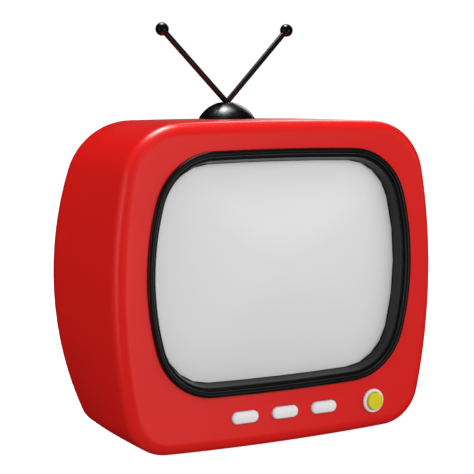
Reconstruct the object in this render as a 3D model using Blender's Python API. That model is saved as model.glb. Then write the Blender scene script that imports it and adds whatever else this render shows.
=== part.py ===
"""A tube television: a red moulded cabinet, picture tube, front keys, rod aerial and rear cover.

Metres, +Z up. The screen faces -Y and +X is to the right of someone watching it. Every sub-part
hangs on an empty at the middle of the screen, on the plane of the cabinet's front face, so its own
place reads as: x across, y back from the front face, z up from the middle of the screen.
"""

from collections import namedtuple
from math import atan2, cos, hypot, pi, radians, sin, sqrt, tau

import bmesh
import bpy
from mathutils import Matrix, Vector

Outline = namedtuple(
    "Outline",
    "half_width half_height side_radius top_radius bottom_radius top_corner bottom_corner centre_z",
)

# Driving dimensions. An outline is eight tangent arcs: two sides, top, bottom and four corners.

CABINET_WIDTH = 0.3688
CABINET_HEIGHT = 0.3204
SHELL_DEPTH = 0.1766
SIDE_BORDER = 0.0314  # the face between the bezel and each side of the cabinet
TOP_BORDER = 0.0268
BOTTOM_BORDER = 0.0540
REAR_NARROWER = 0.0014  # on each side, at the rear fillet
REAR_LOWER = 0.0001  # at the top
REAR_HIGHER = 0.0067  # at the bottom
SHELL_WALL = 0.0032
FRONT_FILLET = 0.0124
REAR_FILLET = 0.0383
REAR_LAND = 0.0095  # flat rim round the rear opening, which the rear cover screws to
FLOOR_GAP = 0.0030  # from the floor to the lowest point of the cabinet

BEZEL_WIDTH = 0.0126
BEZEL_DEPTH = 0.0102  # from the front face back to the end of the sloping inner wall
BEZEL_FLANGE = 0.0030  # how far the outer bead laps over the cabinet face
BEAD_RADIUS = 0.0031

GLASS_MARGIN = 0.0060  # how far the glass runs on behind the bezel
GLASS_BULGE = 0.0080
GLASS_THICKNESS = 0.0110
SKIRT_DEPTH = 0.0300
FUNNEL_WALL = 0.0032
THROAT_SHARE = 0.86  # a round ring's radius, against the half width of the glass at the same size
# Rings of the funnel: how far back, how large and how round.
FUNNEL_RINGS = ((0, 1.0, 0.0), (0.12, 0.96, 0.05), (0.4, 0.74, 0.3), (0.65, 0.50, 0.7), (0.83, 0.30, 1.0))
NECK_RADIUS = 0.0145
NECK_LENGTH = 0.0700
TUBE_CLEARANCE = 0.0361  # from the end of the neck to the outside of the rear cover
SEAL_THICKNESS = 0.0008
SEAL_LIP = 0.0003  # how far the seal shows inside the bezel

ANODE_GAP = 0.0015  # between the funnel and the rubber cap on its contact

BAND_THICKNESS = 0.0012
BAND_WIDTH = 0.0180
LUG_SIZE = 0.0240
LUG_THICKNESS = 0.0020
TUBE_SCREW_RADIUS = 0.0020
TUBE_SCREW_LENGTH = 0.0160
POST_RADIUS = 0.0052

HUMP_DEPTH = 0.0800
COVER_WALL = 0.0028
COVER_SIDE_STRIP = 0.0850  # from the hump to the side of the cabinet, where vents and sockets are
HUMP_TAPER = 0.0220  # how much narrower the hump is at its far end, on each side
COVER_SCREW_RADIUS = 0.0016
COVER_SCREW_LENGTH = 0.0120
COVER_BOSS_RADIUS = 0.0042

KEY_COUNT = 3
KEY_LENGTH = 0.0300
KEY_HEIGHT = 0.0122
KEY_PITCH = 0.1255 * CABINET_WIDTH
KEY_REACH = 0.0032  # how far a key stands out of the face
KEY_TRAVEL = 0.0020
CONTROLS_BELOW = 0.0219  # from the bezel down to the middle of the keys

RING_RADIUS = 0.0122
RING_REACH = 0.0032
RING_FROM_SIDE = 0.0773
RING_NECK_WALL = 0.0017
BUTTON_RADIUS = 0.0089
BUTTON_REACH = 0.0065
BUTTON_TRAVEL = 0.0020

DOME_RADIUS = 0.0334
DOME_HEIGHT = 0.0185
DOME_WALL = 0.0045
STEM_RADIUS = 0.0047
AERIAL_Y = 0.641 * SHELL_DEPTH
ROD_RADIUS = 0.00295
ROD_LENGTH = 0.1080
ROD_TIP_RADIUS = 0.0068
ROD_LEAN = {"left": radians(-45.6), "right": radians(44.2)}
SLOT_HALF_LENGTH = 0.404 * DOME_RADIUS  # lets a rod lean down to 70 degrees
PIVOT_DROP = 0.0027  # from the top of the dome to the pin that both rods turn on
PIN_RADIUS = 0.0009

FOOT_RADIUS = 0.0090
FRONT_FOOT = (CABINET_WIDTH / 2 - 0.0744, 0.255 * SHELL_DEPTH)
REAR_FOOT = (CABINET_WIDTH / 2 - 0.0794, 0.725 * SHELL_DEPTH)

SPEAKER_RADIUS = 0.2491 * SHELL_DEPTH
SPEAKER_Y = 0.555 * SHELL_DEPTH
GRILLE_SLOTS = 7
GRILLE_PITCH = 0.193 * SPEAKER_RADIUS
GRILLE_SLOT_WIDTH = 0.0036

BOARD_SIZE = (CABINET_WIDTH - 0.0988, 0.566 * SHELL_DEPTH, 0.0016)
BOARD_Y = 0.566 * SHELL_DEPTH

VENT_COLUMNS = 9
VENT_ROWS = 7
VENT_SLOT = 0.0040
VENTS_FROM_HUMP = 0.0180
SOCKETS_FROM_HUMP = 0.0155
MAINS_INLET_SIZE = (0.0210, 0.0190, 0.0140)
AERIAL_SOCKET_SIZE = (0.0150, 0.0160, 0.0150)

TOUCH = 0.0003  # gap between two pieces that touch
RUNNING = 0.00035  # gap between two pieces that move on each other

# Shapes and places that follow from the sizes above.

CABINET_TOP = (CABINET_HEIGHT + TOP_BORDER - BOTTOM_BORDER) / 2
CABINET_BOTTOM = CABINET_TOP - CABINET_HEIGHT
CABINET_FRONT = Outline(
    half_width=CABINET_WIDTH / 2,
    half_height=CABINET_HEIGHT / 2,
    side_radius=1.726 * CABINET_HEIGHT,
    top_radius=16.6 * CABINET_WIDTH,
    bottom_radius=9.25 * CABINET_WIDTH,
    top_corner=0.0633,
    bottom_corner=0.0454,
    centre_z=(CABINET_TOP + CABINET_BOTTOM) / 2,
)
CABINET_REAR = Outline(
    half_width=CABINET_WIDTH / 2 - REAR_NARROWER,
    half_height=(CABINET_HEIGHT - REAR_LOWER - REAR_HIGHER) / 2,
    side_radius=1.055 * CABINET_HEIGHT,
    top_radius=16.6 * CABINET_WIDTH,
    bottom_radius=9.25 * CABINET_WIDTH,
    top_corner=0.0708,
    bottom_corner=0.0230,
    centre_z=(CABINET_TOP - REAR_LOWER + CABINET_BOTTOM + REAR_HIGHER) / 2,
)
BEZEL = Outline(
    half_width=CABINET_WIDTH / 2 - SIDE_BORDER,
    half_height=(CABINET_HEIGHT - TOP_BORDER - BOTTOM_BORDER) / 2,
    side_radius=0.818 * CABINET_HEIGHT,
    top_radius=7.65 * CABINET_WIDTH,
    bottom_radius=7.65 * CABINET_WIDTH,
    top_corner=0.0658,
    bottom_corner=0.0658,
    centre_z=0.0,
)
HUMP_BASE = Outline(
    half_width=CABINET_REAR.half_width - COVER_SIDE_STRIP,
    half_height=0.51 * CABINET_REAR.half_height,
    side_radius=0.60,
    top_radius=1.5,
    bottom_radius=1.5,
    top_corner=0.034,
    bottom_corner=0.034,
    centre_z=0.0,
)
HUMP_END = Outline(
    half_width=HUMP_BASE.half_width - HUMP_TAPER,
    half_height=0.70 * HUMP_BASE.half_height,
    side_radius=0.50,
    top_radius=1.2,
    bottom_radius=1.2,
    top_corner=0.026,
    bottom_corner=0.026,
    centre_z=0.0,
)

FACE_Y = -(SHELL_DEPTH + HUMP_DEPTH - BUTTON_REACH) / 2
SCREEN_Z = FLOOR_GAP - CABINET_BOTTOM
FLOOR = -SCREEN_Z
CONTROLS_Z = -BEZEL.half_height - CONTROLS_BELOW
RING_NECK = BUTTON_RADIUS + RUNNING + RING_NECK_WALL
RING_X = CABINET_WIDTH / 2 - RING_FROM_SIDE
SEAL_Y = BEZEL_DEPTH + TOUCH
GLASS_SHARE = 1 - (GLASS_MARGIN + SEAL_LIP) / (BEZEL.half_height - BEZEL_WIDTH + GLASS_MARGIN)
GLASS_EDGE_Y = SEAL_Y + SEAL_THICKNESS + TOUCH + GLASS_BULGE * (1 - GLASS_SHARE**2)
SKIRT_END_Y = GLASS_EDGE_Y + SKIRT_DEPTH
NECK_END_Y = SHELL_DEPTH + HUMP_DEPTH - TUBE_CLEARANCE
NECK_Y = NECK_END_Y - NECK_LENGTH
FUNNEL_DEPTH = NECK_Y - SKIRT_END_Y
COVER_Y = SHELL_DEPTH + TOUCH
LUG_Y = GLASS_EDGE_Y + 0.4 * SKIRT_DEPTH + BAND_WIDTH / 2
PIVOT_Z = CABINET_TOP + DOME_HEIGHT - PIVOT_DROP
ROD_OFFSET = ROD_RADIUS + 0.5 * RUNNING + 0.00003
DOME_CENTRE_Z = CABINET_TOP + DOME_HEIGHT - DOME_RADIUS
BOARD_Z = CABINET_BOTTOM + SHELL_WALL + 0.0150
BOARD_TOP = BOARD_Z + BOARD_SIZE[2] / 2 + TOUCH
SOCKET_X = HUMP_BASE.half_width + SOCKETS_FROM_HUMP
SOCKET_Z = -0.70 * HUMP_BASE.half_height

# Each socket: its name, the (x, z) of its middle and its body's size.
SOCKETS = (
    ("mains_inlet", (-SOCKET_X, SOCKET_Z), MAINS_INLET_SIZE),
    ("aerial_socket", (SOCKET_X, SOCKET_Z), AERIAL_SOCKET_SIZE),
)

CABINET_STEPS = (3, 5, 3)
TUBE_STEPS = (2, 4, 2)

for stray in list(bpy.data.objects):
    bpy.data.objects.remove(stray)

datum = bpy.data.objects.new("screen_centre", None)
datum.location = (0, FACE_Y, SCREEN_Z)
bpy.context.scene.collection.objects.link(datum)


# Helpers


def paint(obj, colour, roughness, metallic=0.0):
    finish = bpy.data.materials.new(obj.name)
    finish.use_nodes = True
    shader = finish.node_tree.nodes["Principled BSDF"]
    shader.inputs["Base Color"].default_value = (*colour, 1.0)
    shader.inputs["Roughness"].default_value = roughness
    shader.inputs["Metallic"].default_value = metallic
    obj.data.materials.append(finish)


def place(name, bm, location=(0, 0, 0), rotation=None):
    """Makes an object of a bmesh, parented to the screen's centre."""
    bmesh.ops.recalc_face_normals(bm, faces=bm.faces)
    mesh = bpy.data.meshes.new(name)
    bm.to_mesh(mesh)
    bm.free()
    mesh.shade_smooth()
    mesh.set_sharp_from_angle(angle=radians(35))
    obj = bpy.data.objects.new(name, mesh)
    bpy.context.scene.collection.objects.link(obj)
    obj.parent = datum
    obj.location = location
    if rotation:
        obj.rotation_euler = rotation
    return obj


def combine(target, other, operation="DIFFERENCE"):
    """Adds a Boolean with another object, which is a cutter or gets joined in."""
    other.hide_render = True
    other.display_type = "WIRE"
    boolean = target.modifiers.new(other.name, "BOOLEAN")
    boolean.object = other
    boolean.operation = operation


def corner_middle(half_width, half_height, side_radius, flat_radius, corner):
    """The centre of the corner arc that runs on smoothly from a side arc into a top arc."""
    side_centre = Vector((half_width - side_radius, 0))
    flat_centre = Vector((0, half_height - flat_radius))
    side_reach = side_radius - corner
    flat_reach = flat_radius - corner
    apart = flat_centre - side_centre
    along = (side_reach**2 - flat_reach**2 + apart.length_squared) / (2 * apart.length)
    across = sqrt(max(side_reach**2 - along**2, 0.0))
    foot = side_centre + apart.normalized() * along
    sideways = Vector((-apart.y, apart.x)).normalized() * across
    return max(foot + sideways, foot - sideways, key=lambda point: point.x)


def arc_quarter(half_width, half_height, side_radius, flat_radius, corner, steps):
    """Points from the middle of a side to the middle of the top, along three tangent arcs."""
    side_centre = Vector((half_width - side_radius, 0))
    flat_centre = Vector((0, half_height - flat_radius))
    middle = corner_middle(half_width, half_height, side_radius, flat_radius, corner)
    side_end = atan2(middle.y, middle.x - side_centre.x)
    flat_start = atan2(middle.y - flat_centre.y, middle.x)
    arcs = (
        (side_centre, side_radius, 0, side_end, steps[0]),
        (middle, corner, side_end, flat_start, steps[1]),
        (flat_centre, flat_radius, flat_start, pi / 2, steps[2]),
    )
    points = [Vector((half_width, 0))]
    for centre, radius, start, end, count in arcs:
        for step in range(1, count + 1):
            angle = start + (end - start) * step / count
            points.append(centre + radius * Vector((cos(angle), sin(angle))))
    return points


def outline_points(shape, inset=0.0, steps=CABINET_STEPS):
    """The (x, z) points of an outline, anticlockwise from the middle of its right side."""
    least_corner = 0.003
    quarters = []
    upper_half = (shape.top_radius, shape.top_corner)
    lower_half = (shape.bottom_radius, shape.bottom_corner)
    for flat_radius, corner in (upper_half, lower_half):
        quarters.append(
            arc_quarter(
                shape.half_width - inset,
                shape.half_height - inset,
                shape.side_radius - inset,
                flat_radius - inset,
                max(corner - inset, least_corner),
                steps,
            )
        )
    upper, lower = quarters
    ring = list(upper)
    ring += [Vector((-point.x, point.y)) for point in upper[-2::-1]]
    ring += [Vector((-point.x, -point.y)) for point in lower[1:]]
    ring += [Vector((point.x, -point.y)) for point in lower[-2:0:-1]]
    return [(point.x, point.y + shape.centre_z) for point in ring]


def blend(first, second, share):
    """The outline part of the way from one to another."""
    return Outline(*(a + (b - a) * share for a, b in zip(first, second)))


def circle_points(radius, like):
    """Points on a circle, each in the direction that its partner in another ring lies."""
    return [(radius * x / hypot(x, z), radius * z / hypot(x, z)) for x, z in like]


def loft(bm, sections, close=False, caps=False):
    """Joins (points, y) sections with quads: back to the first one, or with a flat cap at each end."""
    rings = [[bm.verts.new((x, y, z)) for x, z in points] for points, y in sections]
    pairs = list(zip(rings, rings[1:]))
    if close:
        pairs.append((rings[-1], rings[0]))
    for near, far in pairs:
        for here in range(len(near)):
            after = (here + 1) % len(near)
            bm.faces.new((near[here], near[after], far[after], far[here]))
    if caps:
        bm.faces.new(rings[0])
        bm.faces.new(rings[-1])


def turn(bm, profile, segments=20, axis="Z"):
    """Spins (radius, height) points about an axis: a closed loop, or a line from axis to axis."""
    verts = [bm.verts.new((radius, 0, height)) for radius, height in profile]
    edges = [bm.edges.new(pair) for pair in zip(verts, verts[1:])]
    if profile[0][0] > 0:
        edges.append(bm.edges.new((verts[-1], verts[0])))
    bmesh.ops.spin(
        bm, geom=verts + edges, cent=(0, 0, 0), axis=(0, 0, 1), angle=tau, steps=segments, use_merge=True
    )
    bmesh.ops.remove_doubles(bm, verts=bm.verts, dist=1e-6)
    turned_to = {
        "Z": Matrix.Identity(3),
        "Y": Matrix.Rotation(radians(-90), 3, "X"),
        "X": Matrix.Rotation(radians(90), 3, "Y"),
    }
    bmesh.ops.transform(bm, matrix=turned_to[axis].to_4x4(), verts=bm.verts)


def turned(name, profile, location, axis="Z", segments=20):
    bm = bmesh.new()
    turn(bm, profile, segments, axis)
    return place(name, bm, location)


def block(name, size, location, bevel=0.0, rotation=None):
    """A box given by its full size and its middle, with its edges rounded."""
    bm = bmesh.new()
    bmesh.ops.create_cube(bm, size=1, matrix=Matrix.Diagonal((*size, 1)))
    if bevel:
        bmesh.ops.bevel(
            bm, geom=bm.edges[:], offset=bevel, segments=1, profile=0.5, affect="EDGES", material=-1
        )
    return place(name, bm, location, rotation)


def blocks(name, boxes):
    """Several separate boxes in one object, each (size, middle), used as a cutter for a row of slots."""
    bm = bmesh.new()
    for size, middle in boxes:
        bmesh.ops.create_cube(bm, size=1, matrix=Matrix.Translation(middle) @ Matrix.Diagonal((*size, 1)))
    return place(name, bm)


def rod(name, radius, length, location, axis="Z", segments=16):
    """A plain cylinder given by its middle, used for cutters and pins."""
    profile = [(0, -length / 2), (radius, -length / 2), (radius, length / 2), (0, length / 2)]
    return turned(name, profile, location, axis, segments)


def stadium(length, height, inset=0.0, steps=4):
    """The (x, z) points of a bar with round ends."""
    radius = height / 2 - inset
    straight = (length - height) / 2
    points = []
    for side, start in ((1, -pi / 2), (-1, pi / 2)):
        for step in range(steps + 1):
            angle = start + pi * step / steps
            points.append((side * straight + radius * cos(angle), radius * sin(angle)))
    return points


def arc_profile(centre, radius, start, end, steps):
    """(radius, height) points along an arc, for turned profiles and sections."""
    return [
        (
            centre[0] + radius * cos(start + (end - start) * step / steps),
            centre[1] + radius * sin(start + (end - start) * step / steps),
        )
        for step in range(steps + 1)
    ]


# Cabinet


def cabinet_at(depth):
    """The cabinet's outline at a depth behind its front face."""
    first = FRONT_FILLET
    last = SHELL_DEPTH - REAR_FILLET
    share = min(max((depth - first) / (last - first), 0.0), 1.0)
    return blend(CABINET_FRONT, CABINET_REAR, share)


def skin_sections(wall, fillet_steps, side_rings):
    """The cabinet's surface from the front face to the rear rim, set in by a wall thickness."""
    sections = []
    front = FRONT_FILLET - wall
    rear = REAR_FILLET - wall
    for step in range(fillet_steps + 1):
        angle = step / fillet_steps * pi / 2
        depth = FRONT_FILLET - front * cos(angle)
        sections.append((outline_points(cabinet_at(depth), FRONT_FILLET - front * sin(angle)), depth))
    for step in range(1, side_rings + 1):
        depth = FRONT_FILLET + (SHELL_DEPTH - REAR_FILLET - FRONT_FILLET) * step / (side_rings + 1)
        sections.append((outline_points(cabinet_at(depth), wall), depth))
    for step in range(fillet_steps + 1):
        angle = step / fillet_steps * pi / 2
        depth = SHELL_DEPTH - REAR_FILLET + rear * sin(angle)
        sections.append((outline_points(cabinet_at(depth), REAR_FILLET - rear * cos(angle)), depth))
    return sections


def bottom_height(x, depth):
    """The height of the cabinet's underside at a place on it."""
    shape = cabinet_at(depth)
    rise = shape.bottom_radius - sqrt(shape.bottom_radius**2 - x**2)
    return shape.centre_z - shape.half_height + rise


def rear_opening():
    return outline_points(CABINET_REAR, REAR_FILLET + REAR_LAND)


def key_places():
    """The x of each front key, from left to right."""
    return [(index - (KEY_COUNT - 1) / 2) * KEY_PITCH for index in range(KEY_COUNT)]


def lug_places():
    """The four points, one past each corner of the tube, where its rim band is screwed down."""
    glass = glass_outline()
    corner = glass.top_corner
    middle = corner_middle(glass.half_width, glass.half_height, glass.side_radius, glass.top_radius, corner)
    reach = corner + BAND_THICKNESS + 0.40 * LUG_SIZE
    x = middle.x + reach * cos(radians(45))
    z = middle.y + reach * sin(radians(45))
    return [(x, z), (-x, z), (-x, -z), (x, -z)]


def cover_screw_places():
    """The four points on the rear rim where the cover is screwed on."""
    x = CABINET_REAR.half_width - REAR_FILLET - REAR_LAND / 2
    z = 0.45 * CABINET_REAR.half_height
    middle = CABINET_REAR.centre_z
    return [(x, middle + z), (-x, middle + z), (-x, middle - z), (x, middle - z)]


def make_cabinet():
    opening = outline_points(BEZEL, BEZEL_FLANGE)
    outer = skin_sections(0.0, 5, 2)
    inner = skin_sections(SHELL_WALL, 4, 2)
    rim = rear_opening()
    bm = bmesh.new()
    sections = [(opening, 0.0)] + outer + [(rim, SHELL_DEPTH), (rim, SHELL_DEPTH - SHELL_WALL)]
    sections += inner[::-1] + [(opening, SHELL_WALL)]
    loft(bm, sections, close=True)
    shell = place("cabinet_shell", bm)
    paint(shell, (0.60, 0.016, 0.010), 0.22)

    for number, (x, z) in enumerate(lug_places(), 1):
        length = LUG_Y - TOUCH - SHELL_WALL / 2
        post = rod(f"tube_post_{number}", POST_RADIUS, length, (x, SHELL_WALL / 2 + length / 2, z), "Y", 12)
        combine(shell, post, "UNION")
        depth = TUBE_SCREW_LENGTH
        spot = (x, LUG_Y - depth / 2 + TOUCH, z)
        combine(shell, rod(f"post_hole_{number}", TUBE_SCREW_RADIUS + TOUCH, depth, spot, "Y", 12))
    for number, (x, z) in enumerate(cover_screw_places(), 1):
        depth = COVER_SCREW_LENGTH
        boss_top = SHELL_DEPTH - SHELL_WALL / 2
        spot = (x, boss_top - depth / 2, z)
        combine(shell, rod(f"cover_boss_{number}", COVER_BOSS_RADIUS, depth, spot, "Y", 12), "UNION")
        spot = (x, SHELL_DEPTH - depth / 2 + TOUCH, z)
        combine(shell, rod(f"boss_hole_{number}", COVER_SCREW_RADIUS + TOUCH, depth, spot, "Y", 12))
    for number, x in enumerate(key_places(), 1):
        bm = bmesh.new()
        slot = stadium(KEY_LENGTH + 2 * RUNNING, KEY_HEIGHT + 2 * RUNNING)
        loft(bm, [(slot, -SHELL_WALL), (slot, 2 * SHELL_WALL)], caps=True)
        combine(shell, place(f"key_slot_{number}", bm, (x, 0, CONTROLS_Z)))
    through = 4 * SHELL_WALL
    combine(shell, rod("ring_hole", RING_NECK + RUNNING, through, (RING_X, 0, CONTROLS_Z), "Y", 24))
    combine(shell, rod("aerial_hole", STEM_RADIUS + TOUCH, through, (0, AERIAL_Y, CABINET_TOP), "Z", 16))
    slots = []
    for number in range(GRILLE_SLOTS):
        y = SPEAKER_Y + (number - (GRILLE_SLOTS - 1) / 2) * GRILLE_PITCH
        height = 2 * sqrt((0.85 * SPEAKER_RADIUS) ** 2 - (y - SPEAKER_Y) ** 2)
        middle = (CABINET_FRONT.half_width, y, CABINET_FRONT.centre_z)
        slots.append(((0.03, GRILLE_SLOT_WIDTH, height), middle))
    combine(shell, blocks("grille_slots", slots))


def make_feet():
    for row, (x, y) in (("front", FRONT_FOOT), ("rear", REAR_FOOT)):
        inner = x - FOOT_RADIUS
        top = min(bottom_height(inner, y - FOOT_RADIUS), bottom_height(inner, y + FOOT_RADIUS))
        height = top - TOUCH - FLOOR
        profile = [(0, 0), (FOOT_RADIUS - 0.001, 0), (FOOT_RADIUS, 0.001), (FOOT_RADIUS, height), (0, height)]
        for side, sign in (("left", -1), ("right", 1)):
            foot = turned(f"{row}_{side}_foot", profile, (sign * x, y, FLOOR), segments=16)
            paint(foot, (0.02, 0.02, 0.02), 0.85)


# Screen


def glass_outline():
    inset = BEZEL_WIDTH - GLASS_MARGIN
    return Outline(
        BEZEL.half_width - inset,
        BEZEL.half_height - inset,
        BEZEL.side_radius - inset,
        BEZEL.top_radius - inset,
        BEZEL.bottom_radius - inset,
        BEZEL.top_corner - inset,
        BEZEL.bottom_corner - inset,
        BEZEL.centre_z,
    )


def make_bezel():
    """A black ring: a round outer bead on the cabinet's face, a groove, and a wall sloping to the glass."""
    top = -TOUCH - 0.0007
    bead = arc_profile((BEAD_RADIUS, top), BEAD_RADIUS, pi, tau, 5)
    inner_ridge = [(0.0066, 0.0010), (0.0074, 0.0010), (0.0083, 0.0018), (0.0092, 0.0035)]
    body = BEZEL_FLANGE + TOUCH
    back = [(BEZEL_WIDTH, BEZEL_DEPTH), (body, BEZEL_DEPTH), (body, -TOUCH), (0, -TOUCH)]
    bm = bmesh.new()
    loft(bm, [(outline_points(BEZEL, inset), y) for inset, y in bead + inner_ridge + back], close=True)
    paint(place("bezel_ring", bm), (0.012, 0.012, 0.013), 0.25)


def make_seal():
    inside = BEZEL_WIDTH + SEAL_LIP
    outside = BEZEL_WIDTH - GLASS_MARGIN + 0.0005
    far = SEAL_Y + SEAL_THICKNESS
    section = [(outside, SEAL_Y), (inside, SEAL_Y), (inside, far), (outside, far)]
    bm = bmesh.new()
    loft(bm, [(outline_points(BEZEL, inset, TUBE_STEPS), y) for inset, y in section], close=True)
    paint(place("tube_seal", bm), (0.01, 0.01, 0.01), 0.8)


def scaled(points, share):
    return [(x * share, z * share) for x, z in points]


def make_faceplate():
    """The glass panel: a shallow dome in front, a skirt round the edge and a hollow back."""
    rim = outline_points(glass_outline(), 0.0, TUBE_STEPS)
    inner = outline_points(glass_outline(), GLASS_THICKNESS, TUBE_STEPS)
    bm = bmesh.new()
    shares = (0.2, 0.5, 0.8, 0.97)
    front = [(scaled(rim, share), GLASS_EDGE_Y - GLASS_BULGE * (1 - share**2)) for share in shares]
    skirt = [(rim, GLASS_EDGE_Y + 0.0040), (rim, SKIRT_END_Y)]
    back_y = GLASS_EDGE_Y + GLASS_THICKNESS
    hollow = [(inner, SKIRT_END_Y), (inner, back_y + 0.0040)]
    hollow += [(scaled(inner, share), back_y - GLASS_BULGE * (1 - share**2)) for share in (0.9, 0.5)]
    loft(bm, front + skirt + hollow, caps=True)
    paint(place("crt_faceplate", bm), (0.62, 0.62, 0.62), 0.08)


def funnel_sections(wall, end_y):
    """Rings of the tube's glass behind the faceplate, from a rounded rectangle to the round neck."""
    rim = outline_points(glass_outline(), 0.0, TUBE_STEPS)
    sections = []
    for share, size, roundness in FUNNEL_RINGS:
        circle = circle_points(size * THROAT_SHARE * glass_outline().half_width, rim)
        points = []
        for (x, z), (round_x, round_z) in zip(scaled(rim, size), circle):
            mixed = Vector((x, z)).lerp(Vector((round_x, round_z)), roundness)
            points.append(tuple(mixed - mixed.normalized() * wall))
        sections.append((points, SKIRT_END_Y + TOUCH + share * FUNNEL_DEPTH))
    neck = circle_points(NECK_RADIUS - wall, rim)
    return sections + [(neck, NECK_Y), (neck, end_y)]


def funnel_top(depth):
    """The height of the funnel's upper side at a depth, and how steeply it falls towards the back."""
    tops = [(y, max(z for x, z in points)) for points, y in funnel_sections(0.0, NECK_END_Y)]
    for (near, high), (far, low) in zip(tops, tops[1:]):
        if near <= depth < far:
            fall = (high - low) / (far - near)
            return high - fall * (depth - near), atan2(high - low, far - near)
    return NECK_RADIUS, 0.0


def make_funnel():
    outer = funnel_sections(0.0, NECK_END_Y)
    inner = funnel_sections(FUNNEL_WALL, NECK_END_Y - 0.006)
    bm = bmesh.new()
    loft(bm, outer[::-1] + inner, caps=True)
    paint(place("crt_funnel", bm), (0.05, 0.05, 0.055), 0.35)


def make_rim_band():
    """The steel band shrunk round the glass, with a screw lug past each corner."""
    outside = -(TOUCH + BAND_THICKNESS)
    glass = glass_outline()
    near = LUG_Y - BAND_WIDTH / 2
    section = [(-TOUCH, near), (outside, near), (outside, near + BAND_WIDTH), (-TOUCH, near + BAND_WIDTH)]
    bm = bmesh.new()
    loft(bm, [(outline_points(glass, inset, TUBE_STEPS), y) for inset, y in section], close=True)
    band = place("rim_band", bm)
    paint(band, (0.45, 0.45, 0.44), 0.4, 1.0)
    for number, (x, z) in enumerate(lug_places(), 1):
        across = atan2(z, x)
        towards = Vector((cos(across), 0, sin(across))) * 0.15 * LUG_SIZE
        size = (LUG_SIZE, LUG_THICKNESS, 0.7 * LUG_SIZE)
        spot = Vector((x, LUG_Y + LUG_THICKNESS / 2, z)) - towards
        corner_angle = radians(45) if x * z > 0 else radians(-45)
        lug = block(f"band_lug_{number}", size, spot, rotation=(0, -corner_angle, 0))
        combine(band, lug, "UNION")
        combine(band, rod(f"lug_hole_{number}", TUBE_SCREW_RADIUS + 0.0004, 0.02, (x, LUG_Y, z), "Y", 12))
    inside = outline_points(glass, -TOUCH / 2, TUBE_STEPS)
    bm = bmesh.new()
    loft(bm, [(inside, near - 0.01), (inside, near + BAND_WIDTH + 0.01)], caps=True)
    combine(band, place("band_bore", bm))


def screw_profile(shank_radius, length, head_radius, head_height):
    return [
        (0, -length),
        (0.6 * shank_radius, -length),
        (shank_radius, -length + shank_radius),
        (shank_radius, 0),
        (head_radius, 0),
        (head_radius, 0.5 * head_height),
        (0.6 * head_radius, head_height),
        (0, head_height),
    ]


def make_tube_screws():
    length = TUBE_SCREW_LENGTH - 0.001
    profile = screw_profile(TUBE_SCREW_RADIUS, length, 0.0042, 0.0026)
    for number, (x, z) in enumerate(lug_places(), 1):
        spot = (x, LUG_Y + LUG_THICKNESS + TOUCH, z)
        screw = turned(f"tube_screw_{number}", profile, spot, "Y", 8)
        paint(screw, (0.5, 0.5, 0.5), 0.35, 1.0)


def make_yoke():
    """Deflection coils flared round the throat of the tube, inside a ferrite ring."""
    start = SKIRT_END_Y + 0.87 * FUNNEL_DEPTH
    throat = 0.27 * THROAT_SHARE * glass_outline().half_width + 0.0015
    neck = NECK_RADIUS + 0.0012
    end = NECK_Y + 0.016
    coil = [
        (throat, start),
        (throat + 0.012, start),
        (throat + 0.012, start + 0.004),
        (throat + 0.002, start + 0.006),
        (neck + 0.006, end - 0.004),
        (neck + 0.010, end - 0.003),
        (neck + 0.010, end),
        (neck, end),
        (neck, NECK_Y + 0.001),
    ]
    paint(turned("deflection_coils", coil, (0, 0, 0), "Y", 20), (0.42, 0.12, 0.03), 0.4)
    slope = (throat - neck - 0.004) / (end - start - 0.010)
    gap = 0.0006 * hypot(1, slope)
    near, far = start + 0.0071, end - 0.006
    front = throat + 0.002 + gap - slope * (near - start - 0.006)
    back = throat + 0.002 + gap - slope * (far - start - 0.006)
    core = [(front, near), (front + 0.010, near), (back + 0.009, far), (back, far)]
    paint(turned("yoke_core", core, (0, 0, 0), "Y", 20), (0.05, 0.05, 0.055), 0.6)
    magnet_y = end + 0.006
    rings = [
        (neck - 0.0006, magnet_y),
        (neck + 0.012, magnet_y),
        (neck + 0.012, magnet_y + 0.003),
        (neck + 0.008, magnet_y + 0.004),
        (neck + 0.012, magnet_y + 0.005),
        (neck + 0.012, magnet_y + 0.008),
        (neck - 0.0006, magnet_y + 0.008),
    ]
    paint(turned("centring_magnets", rings, (0, 0, 0), "Y", 20), (0.04, 0.04, 0.045), 0.5)


def make_neck_parts():
    sleeve = 0.006
    socket = [
        (0, NECK_END_Y + TOUCH),
        (NECK_RADIUS + TOUCH, NECK_END_Y + TOUCH),
        (NECK_RADIUS + TOUCH, NECK_END_Y - sleeve),
        (NECK_RADIUS + 0.004, NECK_END_Y - sleeve),
        (NECK_RADIUS + 0.004, NECK_END_Y + 0.010),
        (0, NECK_END_Y + 0.010),
    ]
    paint(turned("tube_socket", socket, (0, 0, 0), "Y", 20), (0.75, 0.73, 0.66), 0.5)
    board_y = NECK_END_Y + 0.010 + TOUCH + 0.0008
    size = (0.79 * HUMP_END.half_width, 0.0016, HUMP_END.half_height)
    board = block("neck_board", size, (0, board_y, 0), 0.0003)
    paint(board, (0.32, 0.17, 0.06), 0.6)


# Circuits


def on_board(across, back):
    """The (x, y) of a spot on the main board, in shares of its half width and its half depth."""
    return across * BOARD_SIZE[0] / 2, BOARD_Y + back * BOARD_SIZE[1] / 2


def make_boards():
    board = block("main_board", BOARD_SIZE, (0, BOARD_Y, BOARD_Z), 0.0003)
    paint(board, (0.32, 0.17, 0.06), 0.6)
    size = (0.036, 0.340 * SHELL_DEPTH, 0.052)
    spot = (-(CABINET_REAR.half_width - 0.0330), 0.606 * SHELL_DEPTH, -0.030)
    tuner = block("tuner_box", size, spot, 0.0012)
    paint(tuner, (0.55, 0.55, 0.53), 0.35, 1.0)


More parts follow.
